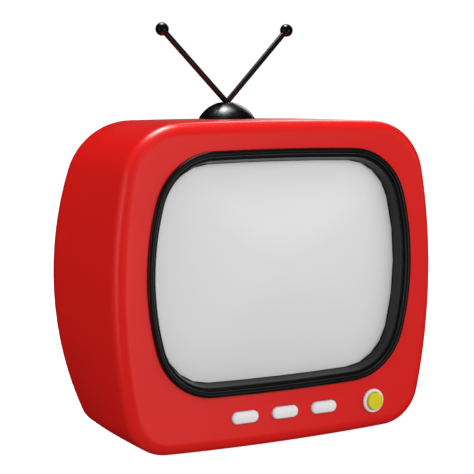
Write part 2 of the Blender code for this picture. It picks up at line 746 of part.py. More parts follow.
def make_line_transformer():
    """The transformer that makes the tube's high voltage: a potted winding on a ferrite frame."""
    x, y = BOARD_SIZE[0] / 2 - 0.0400, on_board(0, 0.44)[1]
    winding_depth = 0.0420
    core_size = (0.0420, 0.0120, 0.0560)
    limb = 0.0105
    middle = BOARD_TOP + core_size[2] / 2
    core = block("flyback_core", core_size, (x, y, middle), 0.0008)
    size = (core_size[0] - 2 * limb, 0.03, core_size[2] - 2 * limb)
    combine(core, block("flyback_window", size, (x, y, middle)))
    paint(core, (0.05, 0.05, 0.055), 0.6)
    limb_x = x + core_size[0] / 2 - limb / 2
    height = core_size[2] - 2 * limb - 2 * TOUCH
    size = (2 * limb + 0.012, winding_depth, height)
    winding = block("flyback_winding", size, (limb_x, y, middle), 0.003)
    size = (limb + 2 * TOUCH, core_size[1] + 2 * TOUCH, 0.2)
    combine(winding, block("winding_hole", size, (limb_x, y, middle)))
    paint(winding, (0.12, 0.05, 0.03), 0.45)
    return Vector((limb_x, y - winding_depth / 2, middle))


def make_mains_transformer():
    x, y = -(BOARD_SIZE[0] / 2 - 0.0370), on_board(0, 0.36)[1]
    core_size = (0.0560, 0.0300, 0.0460)
    leg = 0.0090
    middle = BOARD_TOP + core_size[2] / 2
    core = block("mains_transformer_core", core_size, (x, y, middle), 0.0006)
    window_width = (core_size[0] - 4 * leg) / 2
    for side, sign in (("left", -1), ("right", 1)):
        size = (window_width, 0.05, core_size[2] - 2 * leg)
        window = block(f"core_window_{side}", size, (x + sign * (leg + window_width / 2), y, middle))
        combine(core, window)
    paint(core, (0.20, 0.20, 0.21), 0.5, 0.8)
    wound = (2 * leg + 2 * window_width - 2 * TOUCH, core_size[1] + 0.018, core_size[2] - 2 * leg - 2 * TOUCH)
    winding = block("mains_transformer_winding", wound, (x, y, middle), 0.002)
    size = (2 * leg + 2 * TOUCH, core_size[1] + 2 * TOUCH, 0.2)
    combine(winding, block("core_hole", size, (x, y, middle)))
    paint(winding, (0.55, 0.42, 0.10), 0.5)


def make_heat_sink():
    """A comb of fins on a back plate."""
    fins = 6
    pitch = 0.0070
    thickness = 0.0018
    depth = 0.0200
    height = 0.0300
    half = (fins - 1) * pitch / 2 + thickness / 2
    points = [(-half, 0), (half, 0)]
    for fin in range(fins - 1, -1, -1):
        middle = -half + thickness / 2 + fin * pitch
        points.append((middle + thickness / 2, depth))
        points.append((middle - thickness / 2, depth))
        if fin:
            points.append((middle - thickness / 2, 0.003))
            points.append((middle - pitch + thickness / 2, 0.003))
    bm = bmesh.new()
    base = [bm.verts.new((x, y, 0)) for x, y in points]
    face = bm.faces.new(base)
    risen = bmesh.ops.extrude_face_region(bm, geom=[face])["geom"]
    verts = [item for item in risen if isinstance(item, bmesh.types.BMVert)]
    bmesh.ops.translate(bm, vec=(0, 0, height), verts=verts)
    spot = (*on_board(0.148, 0.52), BOARD_TOP)
    paint(place("heat_sink", bm, spot), (0.6, 0.6, 0.6), 0.4, 1.0)


def make_capacitor():
    x, y = on_board(-0.259, 0.64)
    radius = 0.0105
    height = 0.034
    profile = [
        (0, 0),
        (radius, 0),
        (radius, 0.0030),
        (0.92 * radius, 0.0036),
        (radius, 0.0042),
        (radius, height - 0.001),
        (radius - 0.001, height),
        (0, height),
    ]
    capacitor = turned("filter_capacitor", profile, (x, y, BOARD_TOP), segments=20)
    paint(capacitor, (0.05, 0.10, 0.28), 0.35)


def make_anode(winding_front):
    """The rubber cap on the tube's high-voltage contact, and its lead down to the line transformer."""
    cap_y = SKIRT_END_Y + 0.26 * FUNNEL_DEPTH
    top, fall = funnel_top(cap_y)
    spot = Vector((0, cap_y, top + ANODE_GAP / cos(fall)))
    profile = [
        (0, 0),
        (0.0140, 0),
        (0.0125, 0.0025),
        (0.0070, 0.0040),
        (0.0055, 0.0090),
        (0.0035, 0.0105),
        (0, 0.0105),
    ]
    cap = turned("anode_cap", profile, spot, segments=20)
    cap.rotation_euler = (-fall, 0, 0)
    paint(cap, (0.03, 0.03, 0.03), 0.8)
    leaves = spot + Matrix.Rotation(-fall, 3, "X") @ Vector((0.0058, 0, 0.0070))
    side = CABINET_REAR.half_width
    high = BEZEL.half_height
    route = [
        leaves + Vector((0.0008, 0, 0)),
        leaves + Vector((0.022, 0.004, 0.003)),
        Vector((0.361 * side, 0.589 * SHELL_DEPTH, 0.72 * high)),
        Vector((0.563 * side, 0.657 * SHELL_DEPTH, 0.42 * high)),
        Vector((0.661 * side, 0.668 * SHELL_DEPTH, 0)),
        Vector((0.678 * side, 0.589 * SHELL_DEPTH, -0.42 * high)),
        winding_front + Vector((0.004, -0.015, 0.018)),
        winding_front + Vector((0, -0.013, 0.002)),
        winding_front - Vector((0, 2 * TOUCH, 0)),
    ]
    curve = bpy.data.curves.new("anode_lead", "CURVE")
    curve.dimensions = "3D"
    curve.bevel_depth = 0.0021
    curve.bevel_resolution = 1
    curve.use_fill_caps = True
    spline = curve.splines.new("POLY")
    path = smooth_path(route, 3)
    spline.points.add(len(path) - 1)
    for point, spot in zip(spline.points, path):
        point.co = (*spot, 1)
    lead = bpy.data.objects.new("anode_lead", curve)
    bpy.context.scene.collection.objects.link(lead)
    lead.parent = datum
    paint(lead, (0.35, 0.02, 0.02), 0.5)


def smooth_path(route, steps):
    """Points on a smooth curve through a route's own points."""
    ends = [2 * route[0] - route[1]] + list(route) + [2 * route[-1] - route[-2]]
    path = []
    for before, start, end, after in zip(ends, ends[1:], ends[2:], ends[3:]):
        for step in range(steps):
            t = step / steps
            bent = 2 * start + (end - before) * t
            bent += (2 * before - 5 * start + 4 * end - after) * t**2
            bent += (3 * start - before - 3 * end + after) * t**3
            path.append(bent / 2)
    return path + [route[-1]]


# Loudspeaker, which fires out of the cabinet's right side


def make_speaker():
    wall_sag = SPEAKER_RADIUS**2 / (2 * CABINET_REAR.side_radius)
    front = CABINET_REAR.half_width - SHELL_WALL - wall_sag - 0.0012
    spot = (front, SPEAKER_Y, CABINET_FRONT.centre_z)
    edge = SPEAKER_RADIUS
    frame = [
        (edge - 0.006, 0.0),
        (edge, 0.0),
        (edge, -0.0016),
        (edge - 0.005, -0.0018),
        (0.021, -0.0200),
        (0.021, -0.0220),
        (0.0150, -0.0220),
        (0.0150, -0.0204),
        (0.0195, -0.0195),
        (edge - 0.0065, -0.0020),
    ]
    paint(turned("speaker_frame", frame, spot, "X", 20), (0.35, 0.35, 0.34), 0.4, 0.9)
    cone = [
        (0, -0.0110),
        (0.009, -0.0145),
        (0.011, -0.0150),
        (edge - 0.010, -0.0025),
        (edge - 0.0085, -0.0008),
        (edge - 0.0070, -0.0008),
        (edge - 0.0085, -0.0018),
        (0.0125, -0.0168),
        (0.0125, -0.0215),
        (0, -0.0215),
    ]
    paint(turned("speaker_cone", cone, spot, "X", 20), (0.06, 0.055, 0.05), 0.9)
    magnet = [
        (0, -0.0225),
        (0.024, -0.0225),
        (0.025, -0.0235),
        (0.025, -0.0345),
        (0.024, -0.0355),
        (0, -0.0355),
    ]
    paint(turned("speaker_magnet", magnet, spot, "X", 20), (0.08, 0.08, 0.085), 0.5)


# Front controls


def make_keys():
    lip_y = SHELL_WALL + TOUCH
    flange_end = lip_y + 0.0014
    stem = (0.0060, 0.0040)
    stem_end = flange_end + 0.0062
    switch_y = flange_end + 0.0052
    switch_size = (0.0150, 0.0085, 0.0100)
    travel_room = stem_end + KEY_TRAVEL + 0.002
    for number, x in enumerate(key_places(), 1):
        edge = 0.0016
        cap = []
        for step in range(4):
            angle = step / 3 * pi / 2
            points = stadium(KEY_LENGTH, KEY_HEIGHT, edge * (1 - sin(angle)))
            cap.append((points, -KEY_REACH + edge * (1 - cos(angle))))
        cap.append((stadium(KEY_LENGTH, KEY_HEIGHT), lip_y))
        flange = stadium(KEY_LENGTH + 0.003, KEY_HEIGHT + 0.003)
        cap += [(flange, lip_y), (flange, flange_end)]
        shank = stadium(*stem)
        cap += [(shank, flange_end), (shank, stem_end)]
        bm = bmesh.new()
        loft(bm, cap, caps=True)
        key = place(f"channel_key_{number}", bm, (x, 0, CONTROLS_Z))
        paint(key, (0.80, 0.79, 0.78), 0.3)
        spot = (x, switch_y + switch_size[1] / 2, CONTROLS_Z)
        switch = block(f"key_switch_{number}", switch_size, spot, 0.0005)
        bm = bmesh.new()
        hole = stadium(stem[0] + 2 * RUNNING, stem[1] + 2 * RUNNING)
        loft(bm, [(hole, switch_y - 0.002), (hole, travel_room)], caps=True)
        combine(switch, place(f"switch_hole_{number}", bm, (x, 0, CONTROLS_Z)))
        paint(switch, (0.10, 0.10, 0.11), 0.5)
        make_key_spring(number, x, flange_end + 0.0005, switch_y - 0.0005)
    size = (KEY_PITCH * (KEY_COUNT - 1) + 0.034, 0.0016, 0.0220)
    board_y = switch_y + switch_size[1] + TOUCH + size[1] / 2
    board = block("key_board", size, (0, board_y, CONTROLS_Z), 0.0003)
    paint(board, (0.32, 0.17, 0.06), 0.6)


def make_key_spring(number, x, near, far):
    """A return spring round the key's stem."""
    wire = 0.0003
    turns = 2.5
    steps = 18
    curve = bpy.data.curves.new(f"key_spring_{number}", "CURVE")
    curve.dimensions = "3D"
    curve.bevel_depth = wire
    curve.bevel_resolution = 0
    curve.use_fill_caps = True
    spline = curve.splines.new("POLY")
    spline.points.add(steps - 1)
    for step, point in enumerate(spline.points):
        share = step / (steps - 1)
        angle = tau * turns * share
        point.co = (0.0043 * cos(angle), near + (far - near) * share, 0.0043 * sin(angle), 1)
    spring = bpy.data.objects.new(f"key_spring_{number}", curve)
    bpy.context.scene.collection.objects.link(spring)
    spring.parent = datum
    spring.location = (x, 0, CONTROLS_Z)
    paint(spring, (0.6, 0.6, 0.6), 0.3, 1.0)


def make_volume_control():
    """A white ring that turns, round a yellow button that pushes in."""
    neck = RING_NECK
    bore = BUTTON_RADIUS + RUNNING
    spot = (RING_X, 0, CONTROLS_Z)
    snap = SHELL_WALL + TOUCH
    ring = arc_profile((RING_RADIUS - 0.0014, -RING_REACH + 0.0014), 0.0014, -pi / 2, 0, 3)
    ring += [
        (RING_RADIUS, -TOUCH),
        (neck, -TOUCH),
        (neck, snap),
        (neck + 0.0009, snap + 0.0002),
        (neck, snap + 0.0022),
        (neck, 0.0120),
        (bore, 0.0120),
        (bore, -RING_REACH + 0.0003),
        (bore + 0.0003, -RING_REACH),
    ]
    paint(turned("volume_ring", ring, spot, "Y", 24), (0.80, 0.79, 0.78), 0.3)
    stem = 0.0028
    button = [
        (0, -BUTTON_REACH),
        (BUTTON_RADIUS - 0.0007, -BUTTON_REACH),
        (BUTTON_RADIUS, -BUTTON_REACH + 0.0007),
        (BUTTON_RADIUS, 0.0040),
        (stem, 0.0040),
        (stem, 0.0150),
        (0, 0.0150),
    ]
    paint(turned("power_button", button, spot, "Y", 24), (0.58, 0.50, 0.01), 0.3)
    body = 0.0125
    inside = bore - TOUCH
    hole = stem + RUNNING
    hole_end = 0.0150 + BUTTON_TRAVEL + 0.0010
    control = [
        (0, 0.0240),
        (body, 0.0240),
        (body, 0.0123),
        (inside, 0.0123),
        (inside, 0.0090),
        (hole, 0.0090),
        (hole, hole_end),
        (0, hole_end),
    ]
    paint(turned("volume_control", control, spot, "Y", 24), (0.35, 0.35, 0.34), 0.4, 0.9)


# Rear cover


def make_rear_cover():
    plate = outline_points(CABINET_REAR, REAR_FILLET + 0.0006)
    near = COVER_Y
    far = SHELL_DEPTH + HUMP_DEPTH
    hump_start = near + COVER_WALL
    outer = [
        (plate, near),
        (plate, near + 0.0018),
        (outline_points(CABINET_REAR, REAR_FILLET + 0.0016), hump_start),
        (outline_points(HUMP_BASE), hump_start),
        (outline_points(HUMP_BASE, 0.0040), hump_start + 0.0080),
        (outline_points(blend(HUMP_BASE, HUMP_END, 0.75)), far - 0.0300),
        (outline_points(HUMP_END, 0.0010), far - 0.0060),
        (outline_points(HUMP_END, 0.0035), far - 0.0018),
        (outline_points(HUMP_END, 0.0075), far),
    ]
    wall = COVER_WALL
    inner = [
        (outline_points(HUMP_END, 0.0090), far - wall),
        (outline_points(HUMP_END, 0.0035 + wall), far - 0.0060),
        (outline_points(blend(HUMP_BASE, HUMP_END, 0.75), wall), far - 0.0300),
        (outline_points(HUMP_BASE, 0.0040 + wall), hump_start + 0.0080),
        (outline_points(HUMP_BASE, wall), near),
    ]
    bm = bmesh.new()
    loft(bm, outer[::-1] + inner[::-1], caps=True)
    cover = place("rear_cover", bm)
    paint(cover, (0.020, 0.020, 0.022), 0.6)

    slots = []
    column_pitch = 0.145 * HUMP_END.half_width
    for number in range(VENT_COLUMNS):
        x = (number - (VENT_COLUMNS - 1) / 2) * column_pitch
        slots.append(((VENT_SLOT, 0.02, HUMP_END.half_height), (x, far, 0.0)))
    row_pitch = 0.070 * CABINET_REAR.half_height
    side = HUMP_BASE.half_width + VENTS_FROM_HUMP
    for number in range(VENT_ROWS):
        z = 0.131 * CABINET_REAR.half_height + (number - (VENT_ROWS - 1) / 2) * row_pitch
        for x in (-side, side):
            slots.append(((4 * VENT_SLOT, 0.02, VENT_SLOT), (x, near, z)))
    combine(cover, blocks("cover_vents", slots))
    for number, (x, z) in enumerate(cover_screw_places(), 1):
        radius = COVER_SCREW_RADIUS + 0.0004
        combine(cover, rod(f"cover_hole_{number}", radius, 0.02, (x, near, z), "Y", 12))
    for name, (x, z), size in SOCKETS:
        cutout = (size[0] + 2 * TOUCH, 0.03, size[2] + 2 * TOUCH)
        combine(cover, block(f"{name}_cutout", cutout, (x, near, z)))


def make_sockets():
    """Two open sockets in the rear cover, each a body through the cover with a rim outside it."""
    rim = 0.0022
    rim_y = COVER_Y + COVER_WALL + TOUCH
    for name, (x, z), size in SOCKETS:
        body = block(name, size, (x, rim_y + 0.0006 - size[1] / 2, z), 0.0004)
        collar_size = (size[0] + 2 * rim, 0.0014, size[2] + 2 * rim)
        combine(body, block(f"{name}_rim", collar_size, (x, rim_y + 0.0007, z)), "UNION")
        depth = size[1] - 0.004
        spot = (x, rim_y + 0.003 - depth / 2, z)
        if name == "mains_inlet":
            hollow = block(f"{name}_hollow", (size[0] - 0.006, depth, size[2] - 0.005), spot)
        else:
            hollow = rod(f"{name}_hollow", 0.0048, depth, spot, "Y", 20)
        combine(body, hollow)
        paint(body, (0.04, 0.04, 0.045), 0.45)


def make_cover_screws():
    profile = screw_profile(COVER_SCREW_RADIUS, COVER_SCREW_LENGTH - 0.003, 0.0033, 0.0020)
    for number, (x, z) in enumerate(cover_screw_places(), 1):
        spot = (x, COVER_Y + COVER_WALL + TOUCH, z)
        paint(turned(f"cover_screw_{number}", profile, spot, "Y", 8), (0.5, 0.5, 0.5), 0.35, 1.0)


# Aerial


def make_aerial_base():
    """The disc that the dome turns on, with a threaded stem through the cabinet's top, and its nut."""
    top = 0.0029
    inside = sqrt((DOME_RADIUS - DOME_WALL) ** 2 - (CABINET_TOP + top - DOME_CENTRE_Z) ** 2)
    disc = inside - RUNNING
    stem_length = SHELL_WALL + 0.0090
    profile = [
        (0, -stem_length),
        (STEM_RADIUS, -stem_length),
        (STEM_RADIUS, TOUCH),
        (disc, TOUCH),
        (disc, top),
        (0, top),
    ]
    base = turned("aerial_base", profile, (0, AERIAL_Y, CABINET_TOP), segments=24)
    paint(base, (0.03, 0.03, 0.03), 0.5)
    nut_top = -SHELL_WALL - 2 * TOUCH
    bore = (STEM_RADIUS + TOUCH) / cos(pi / 6)
    nut = [(bore, nut_top - 0.004), (0.0088, nut_top - 0.004), (0.0088, nut_top), (bore, nut_top)]
    paint(turned("aerial_nut", nut, (0, AERIAL_Y, CABINET_TOP), segments=6), (0.6, 0.6, 0.6), 0.35, 1.0)


def make_dome():
    """The dome that swivels on the base, slotted across its top for the two rods."""
    base_z = CABINET_TOP + RUNNING - DOME_CENTRE_Z
    outer_start = atan2(base_z, sqrt(DOME_RADIUS**2 - base_z**2))
    inside = DOME_RADIUS - DOME_WALL
    inner_start = atan2(base_z, sqrt(inside**2 - base_z**2))
    profile = arc_profile((0, 0), inside, pi / 2, inner_start, 4)
    profile += arc_profile((0, 0), DOME_RADIUS, outer_start, pi / 2, 7)
    profile[0] = (0, inside)
    profile[-1] = (0, DOME_RADIUS)
    dome = turned("aerial_dome", profile, (0, AERIAL_Y, DOME_CENTRE_Z), segments=24)
    paint(dome, (0.012, 0.012, 0.013), 0.15)
    slot_size = (2 * SLOT_HALF_LENGTH, 2 * (ROD_OFFSET + ROD_RADIUS + RUNNING), 0.016)
    combine(dome, block("rod_slot", slot_size, (0, AERIAL_Y, PIVOT_Z + 0.001)))
    hole_length = slot_size[1] + 0.0048
    combine(dome, rod("pin_hole", PIN_RADIUS + 0.0002, hole_length, (0, AERIAL_Y, PIVOT_Z), "Y", 12))
    pin = rod("pivot_pin", PIN_RADIUS, hole_length - 2 * TOUCH, (0, AERIAL_Y, PIVOT_Z), "Y", 12)
    paint(pin, (0.6, 0.6, 0.6), 0.3, 1.0)


def make_rods():
    for side, lean in ROD_LEAN.items():
        y = AERIAL_Y + (-ROD_OFFSET if side == "left" else ROD_OFFSET)
        joint = bpy.data.objects.new(f"{side}_rod_axis", None)
        bpy.context.scene.collection.objects.link(joint)
        joint.parent = datum
        joint.location = (0, y, PIVOT_Z)
        joint.rotation_euler = (0, lean, 0)
        tip_gap = ROD_LENGTH - ROD_TIP_RADIUS
        profile = [(0, -ROD_RADIUS)] + arc_profile((0, 0), ROD_RADIUS, -pi / 2, 0, 4)[1:]
        profile += [(ROD_RADIUS, tip_gap + 0.0006), (0, tip_gap + 0.0006)]
        shaft = turned(f"{side}_rod", profile, (0, 0, 0), segments=12)
        shaft.parent = joint
        paint(shaft, (0.012, 0.012, 0.013), 0.2)
        eye = rod(f"{side}_rod_eye", PIN_RADIUS + 0.00025, 0.02, (0, 0, 0), "Y", 12)
        eye.parent = joint
        combine(shaft, eye)
        socket = sqrt(ROD_TIP_RADIUS**2 - (ROD_RADIUS + TOUCH) ** 2)
        seat = -ROD_TIP_RADIUS + 0.0009
        ball = [(0, seat)] + [(ROD_RADIUS + TOUCH, seat), (ROD_RADIUS + TOUCH, -socket)]
        start = -atan2(socket, ROD_RADIUS + TOUCH)
        ball += arc_profile((0, 0), ROD_TIP_RADIUS, start, pi / 2, 6)[1:]
        ball[-1] = (0, ROD_TIP_RADIUS)
        tip = turned(f"{side}_rod_tip", ball, (0, 0, ROD_LENGTH), segments=14)
        tip.parent = joint
        paint(tip, (0.012, 0.012, 0.013), 0.15)


make_cabinet()
make_feet()
make_bezel()
make_seal()
make_faceplate()
make_funnel()
make_rim_band()
make_tube_screws()
make_yoke()
make_neck_parts()
make_boards()
lead_end = make_line_transformer()
make_mains_transformer()
make_heat_sink()
make_capacitor()
make_anode(lead_end)
make_speaker()
make_keys()
make_volume_control()
make_rear_cover()
make_sockets()
make_cover_screws()
make_aerial_base()
make_dome()
make_rods()
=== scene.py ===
from collections import namedtuple
from math import asin, atan2, cos, pi, radians, sin, sqrt, tau

import bmesh
import bpy
from mathutils import Matrix, Vector


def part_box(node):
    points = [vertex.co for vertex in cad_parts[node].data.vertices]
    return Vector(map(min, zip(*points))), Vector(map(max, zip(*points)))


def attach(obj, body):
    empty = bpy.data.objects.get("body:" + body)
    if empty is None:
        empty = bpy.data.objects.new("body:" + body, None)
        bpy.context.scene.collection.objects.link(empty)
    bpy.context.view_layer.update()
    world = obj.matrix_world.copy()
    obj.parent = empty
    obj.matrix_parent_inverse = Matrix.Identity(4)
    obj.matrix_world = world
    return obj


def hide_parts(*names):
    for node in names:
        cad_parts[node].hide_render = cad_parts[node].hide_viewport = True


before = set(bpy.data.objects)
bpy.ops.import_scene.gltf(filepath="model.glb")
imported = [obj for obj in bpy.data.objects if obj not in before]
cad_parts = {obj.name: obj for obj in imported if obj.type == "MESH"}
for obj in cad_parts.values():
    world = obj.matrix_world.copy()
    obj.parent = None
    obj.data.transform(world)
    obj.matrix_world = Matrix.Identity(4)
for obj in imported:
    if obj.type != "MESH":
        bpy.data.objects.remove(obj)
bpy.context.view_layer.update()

# A small tube television: red cabinet, black-rimmed grey screen, keys, and a rod aerial.
# Metres, +Z up, the screen faces -Y. Places come from the frame's own nodes.

shellLow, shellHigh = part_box("cabinet_shell")
bezelLow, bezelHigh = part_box("bezel_ring")
coverLow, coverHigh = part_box("rear_cover")
datum = Vector((0, shellLow.y, (bezelLow.z + bezelHigh.z) / 2))  # middle of the screen, on the face's plane
shellDepth = shellHigh.y - shellLow.y
touch = 0.0003  # gap between pieces that touch
mm = 0.001
sharpAngle = 32  # degrees; a steeper edge is shaded as an edge

Outline = namedtuple(
    "Outline", "halfWidth halfHeight sideRadius topRadius bottomRadius topCorner bottomCorner centreZ"
)


# Shaping helpers. Pieces are shaped about the datum: x across, y back from the face, z up.


def cornerCentre(halfWidth, halfHeight, sideRadius, flatRadius, corner):
    # where the corner arc's centre lies, so that it is tangent to the side arc and the flat arc
    apart = Vector((sideRadius - halfWidth, halfHeight - flatRadius))
    sideReach, flatReach = sideRadius - corner, flatRadius - corner
    along = (sideReach**2 - flatReach**2 + apart.length_squared) / (2 * apart.length)
    across = sqrt(max(sideReach**2 - along**2, 0))
    foot = Vector((halfWidth - sideRadius, 0)) + apart.normalized() * along
    sideways = Vector((-apart.y, apart.x)).normalized() * across
    return max(foot + sideways, foot - sideways, key=lambda spot: spot.x)


def walkRing(start):
    # the edges of a closed ring, in order from one of its vertices
    edges = [start.link_edges[0]]
    vert = edges[0].other_vert(start)
    while vert != start:
        edges.append(next(edge for edge in vert.link_edges if edge != edges[-1]))
        vert = edges[-1].other_vert(vert)
    return edges


def spinOn(bm, vert, centre, angle, steps):
    # runs a vertex round an arc in the XZ plane, anticlockwise as seen from the front
    middle = (centre[0], vert.co.y, centre[1])
    spun = bmesh.ops.spin(bm, geom=[vert], cent=middle, axis=(0, -1, 0), angle=angle, steps=steps)
    return next(item for item in spun["geom_last"] if isinstance(item, bmesh.types.BMVert))


def outlineRing(bm, shape, inset=0.0, depth=0.0, share=1.0):
    # one ring of eight tangent arcs, set in from an outline, at a depth behind the face
    sideSteps, cornerSteps, flatSteps = 8, 18, 16
    halfWidth, halfHeight = shape.halfWidth - inset, shape.halfHeight - inset
    sideRadius = shape.sideRadius - inset
    leastCorner = 0.003
    ends = []
    for flatRadius, corner in ((shape.topRadius, shape.topCorner), (shape.bottomRadius, shape.bottomCorner)):
        flatRadius, corner = flatRadius - inset, max(corner - inset, leastCorner)
        middle = cornerCentre(halfWidth, halfHeight, sideRadius, flatRadius, corner)
        sideEnd = atan2(middle.y, middle.x - halfWidth + sideRadius)
        flatStart = atan2(middle.y - halfHeight + flatRadius, middle.x)
        ends.append((middle, sideEnd, flatStart, halfHeight - flatRadius))
    (top, topSide, topFlat, topZ), (low, lowSide, lowFlat, lowZ) = ends
    sideX = halfWidth - sideRadius
    arcs = (
        ((sideX, 0), topSide, sideSteps),
        ((top.x, top.y), topFlat - topSide, cornerSteps),
        ((0, topZ), pi - 2 * topFlat, flatSteps),
        ((-top.x, top.y), topFlat - topSide, cornerSteps),
        ((-sideX, 0), topSide + lowSide, 2 * sideSteps),
        ((-low.x, -low.y), lowFlat - lowSide, cornerSteps),
        ((0, -lowZ), pi - 2 * lowFlat, flatSteps),
        ((low.x, -low.y), lowFlat - lowSide, cornerSteps),
        ((sideX, 0), lowSide, sideSteps),
    )
    start = last = bm.verts.new((halfWidth, depth, 0))
    for centre, angle, count in arcs:
        last = spinOn(bm, last, centre, angle, count)
    bmesh.ops.weld_verts(bm, targetmap={last: start})
    edges = walkRing(start)
    verts = {vert for edge in edges for vert in edge.verts}
    bmesh.ops.scale(bm, vec=(share, 1, share), verts=list(verts))
    bmesh.ops.translate(bm, vec=(0, 0, shape.centreZ), verts=list(verts))
    return edges


def stadiumRing(bm, length, height, inset=0.0, depth=0.0):
    # one ring with straight sides and round ends
    endSteps = 14
    radius, straight = height / 2 - inset, (length - height) / 2
    start = bm.verts.new((straight, depth, -radius))
    corner = spinOn(bm, start, (straight, 0), pi, endSteps)
    drawn = bmesh.ops.extrude_vert_indiv(bm, verts=[corner])
    across = drawn["verts"][0]
    across.co.x = -straight
    last = spinOn(bm, across, (-straight, 0), pi, endSteps)
    bm.edges.new((last, start))
    return walkRing(start)


def skinRings(bm, rings, front=False, back=False, closed=False):
    # joins rings one to the next, and fills the first or the last where asked;
    # the rings stand well apart while they are joined, so that flush ones pair up too
    apart = 0.02
    ringVerts = [list({vert for edge in ring for vert in edge.verts}) for ring in rings]
    for index, verts in enumerate(ringVerts):
        bmesh.ops.translate(bm, vec=(0, index * apart, 0), verts=verts)
    pairs = list(zip(rings, rings[1:]))
    if closed:
        pairs.append((rings[-1], rings[0]))
    for near, far in pairs:
        bmesh.ops.bridge_loops(bm, edges=near + far)
    for index, verts in enumerate(ringVerts):
        bmesh.ops.translate(bm, vec=(0, -index * apart, 0), verts=verts)
    for ring, wanted in ((rings[0], front), (rings[-1], back)):
        if wanted:
            bmesh.ops.edgeloop_fill(bm, edges=ring)


def turnProfile(bm, profile, segments=72, axis="Z"):
    # spins (radius, height, rounding) corners about Z, or about Y where asked;
    # a corner with no rounding stays sharp
    roundSteps = 6
    path = []
    closed = profile[0][0] > 0
    for index, (radius, height, *rounding) in enumerate(profile):
        here = Vector((radius, height))
        isEnd = not closed and index in (0, len(profile) - 1)
        if not rounding or isEnd:
            path.append(here)
            continue
        before = Vector(profile[index - 1][:2]) - here
        after = Vector(profile[(index + 1) % len(profile)][:2]) - here
        inward, outward = before.normalized(), after.normalized()
        half = inward.angle(outward) / 2
        reach = rounding[0] / max(sin(half) / cos(half), 1e-6)
        centre = here + (inward + outward).normalized() * rounding[0] / sin(half)
        first, final = here + inward * reach - centre, here + outward * reach - centre
        bend = first.angle_signed(final)
        path += [
            centre + Matrix.Rotation(-bend * step / roundSteps, 2) @ first
            for step in range(roundSteps + 1)
        ]
    verts = [bm.verts.new((spot.x, 0, spot.y)) for spot in path]
    edges = [bm.edges.new(pair) for pair in zip(verts, verts[1:])]
    if closed:
        edges.append(bm.edges.new((verts[-1], verts[0])))
    spun = verts + edges
    bmesh.ops.spin(bm, geom=spun, cent=(0, 0, 0), axis=(0, 0, 1), angle=tau, steps=segments, use_merge=True)
    bmesh.ops.remove_doubles(bm, verts=bm.verts, dist=1e-6)
    if axis == "Y":
        bmesh.ops.rotate(bm, cent=(0, 0, 0), matrix=Matrix.Rotation(radians(-90), 3, "X"), verts=bm.verts)


def addPiece(name, bm, place=datum, sharp=sharpAngle):
    # a mesh object at the origin, with its place in its mesh
    bmesh.ops.remove_doubles(bm, verts=bm.verts, dist=1e-6)
    bmesh.ops.recalc_face_normals(bm, faces=bm.faces)
    bmesh.ops.transform(bm, matrix=Matrix.Translation(place), verts=bm.verts)
    mesh = bpy.data.meshes.new(name)
    bm.to_mesh(mesh)
    bm.free()
    mesh.shade_smooth()
    mesh.set_sharp_from_angle(angle=radians(sharp))
    piece = bpy.data.objects.new(name, mesh)
    bpy.context.scene.collection.objects.link(piece)
    return piece


def settle(piece):
    # makes a piece's modifiers permanent
    graph = bpy.context.evaluated_depsgraph_get()
    mesh = bpy.data.meshes.new_from_object(piece.evaluated_get(graph))
    piece.modifiers.clear()
    piece.data = mesh
    mesh.shade_smooth()
    mesh.set_sharp_from_angle(angle=radians(sharpAngle))


def cutWith(piece, cutters):
    for cutter in cutters:
        boolean = piece.modifiers.new(cutter.name, "BOOLEAN")
        boolean.object = cutter
        boolean.solver = "EXACT"
    settle(piece)
    for cutter in cutters:
        bpy.data.objects.remove(cutter)


def boxPiece(name, boxes, place=datum, bevel=0.0):
    # one object of several boxes, each (size, middle)
    bm = bmesh.new()
    for size, middle in boxes:
        bmesh.ops.create_cube(bm, size=1, matrix=Matrix.Translation(middle) @ Matrix.Diagonal((*size, 1)))
    if bevel:
        bmesh.ops.bevel(
            bm, geom=bm.edges[:], offset=bevel, segments=3, profile=0.5, affect="EDGES", material=-1
        )
    return addPiece(name, bm, place)


def finish(piece, body, material, slot, *replaced):
    piece.data.materials.clear()
    piece.data.materials.append(material)
    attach(piece, body)
    if replaced:
        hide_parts(*replaced)


# Materials


def colour(hexText):
    # an sRGB hex colour as linear red, green, blue and alpha
    parts = [int(hexText[place:place + 2], 16) / 255 for place in (1, 3, 5)]
    return (*(part / 12.92 if part <= 0.04045 else ((part + 0.055) / 1.055) ** 2.4 for part in parts), 1.0)


def addNode(tree, kind, inputs=None, feeds=None, **settings):
    # inputs takes values or other nodes' outputs; feeds says which output goes to which socket
    node = tree.nodes.new("ShaderNode" + kind)
    for name, value in settings.items():
        setattr(node, name, value)
    for socket, value in (inputs or {}).items():
        if isinstance(value, bpy.types.NodeSocket):
            tree.links.new(value, node.inputs[socket])
        else:
            node.inputs[socket].default_value = value
    for output, socket in (feeds or {}).items():
        tree.links.new(node.outputs[output], socket)
    return node


def startMaterial(name, **sockets):
    # a Principled material; sockets that are the same all over are set here
    material = bpy.data.materials.new(name)
    material.use_nodes = True
    tree = material.node_tree
    shader = tree.nodes["Principled BSDF"]
    for socket, value in sockets.items():
        shader.inputs[socket.replace("_", " ")].default_value = value
    place = addNode(tree, "TexCoord").outputs["Object"]
    return material, tree, shader, place


def clouds(tree, place, size, low, high, detail=3.0):
    # noise whose patches are about size across, from the value low to the value high
    noise = addNode(tree, "TexNoise", {"Vector": place, "Scale": 0.5 / size, "Detail": detail})
    spread = {"Value": noise.outputs[0], 1: 0.3, 2: 0.7, 3: low, 4: high}
    return addNode(tree, "MapRange", spread, clamp=False).outputs[0]


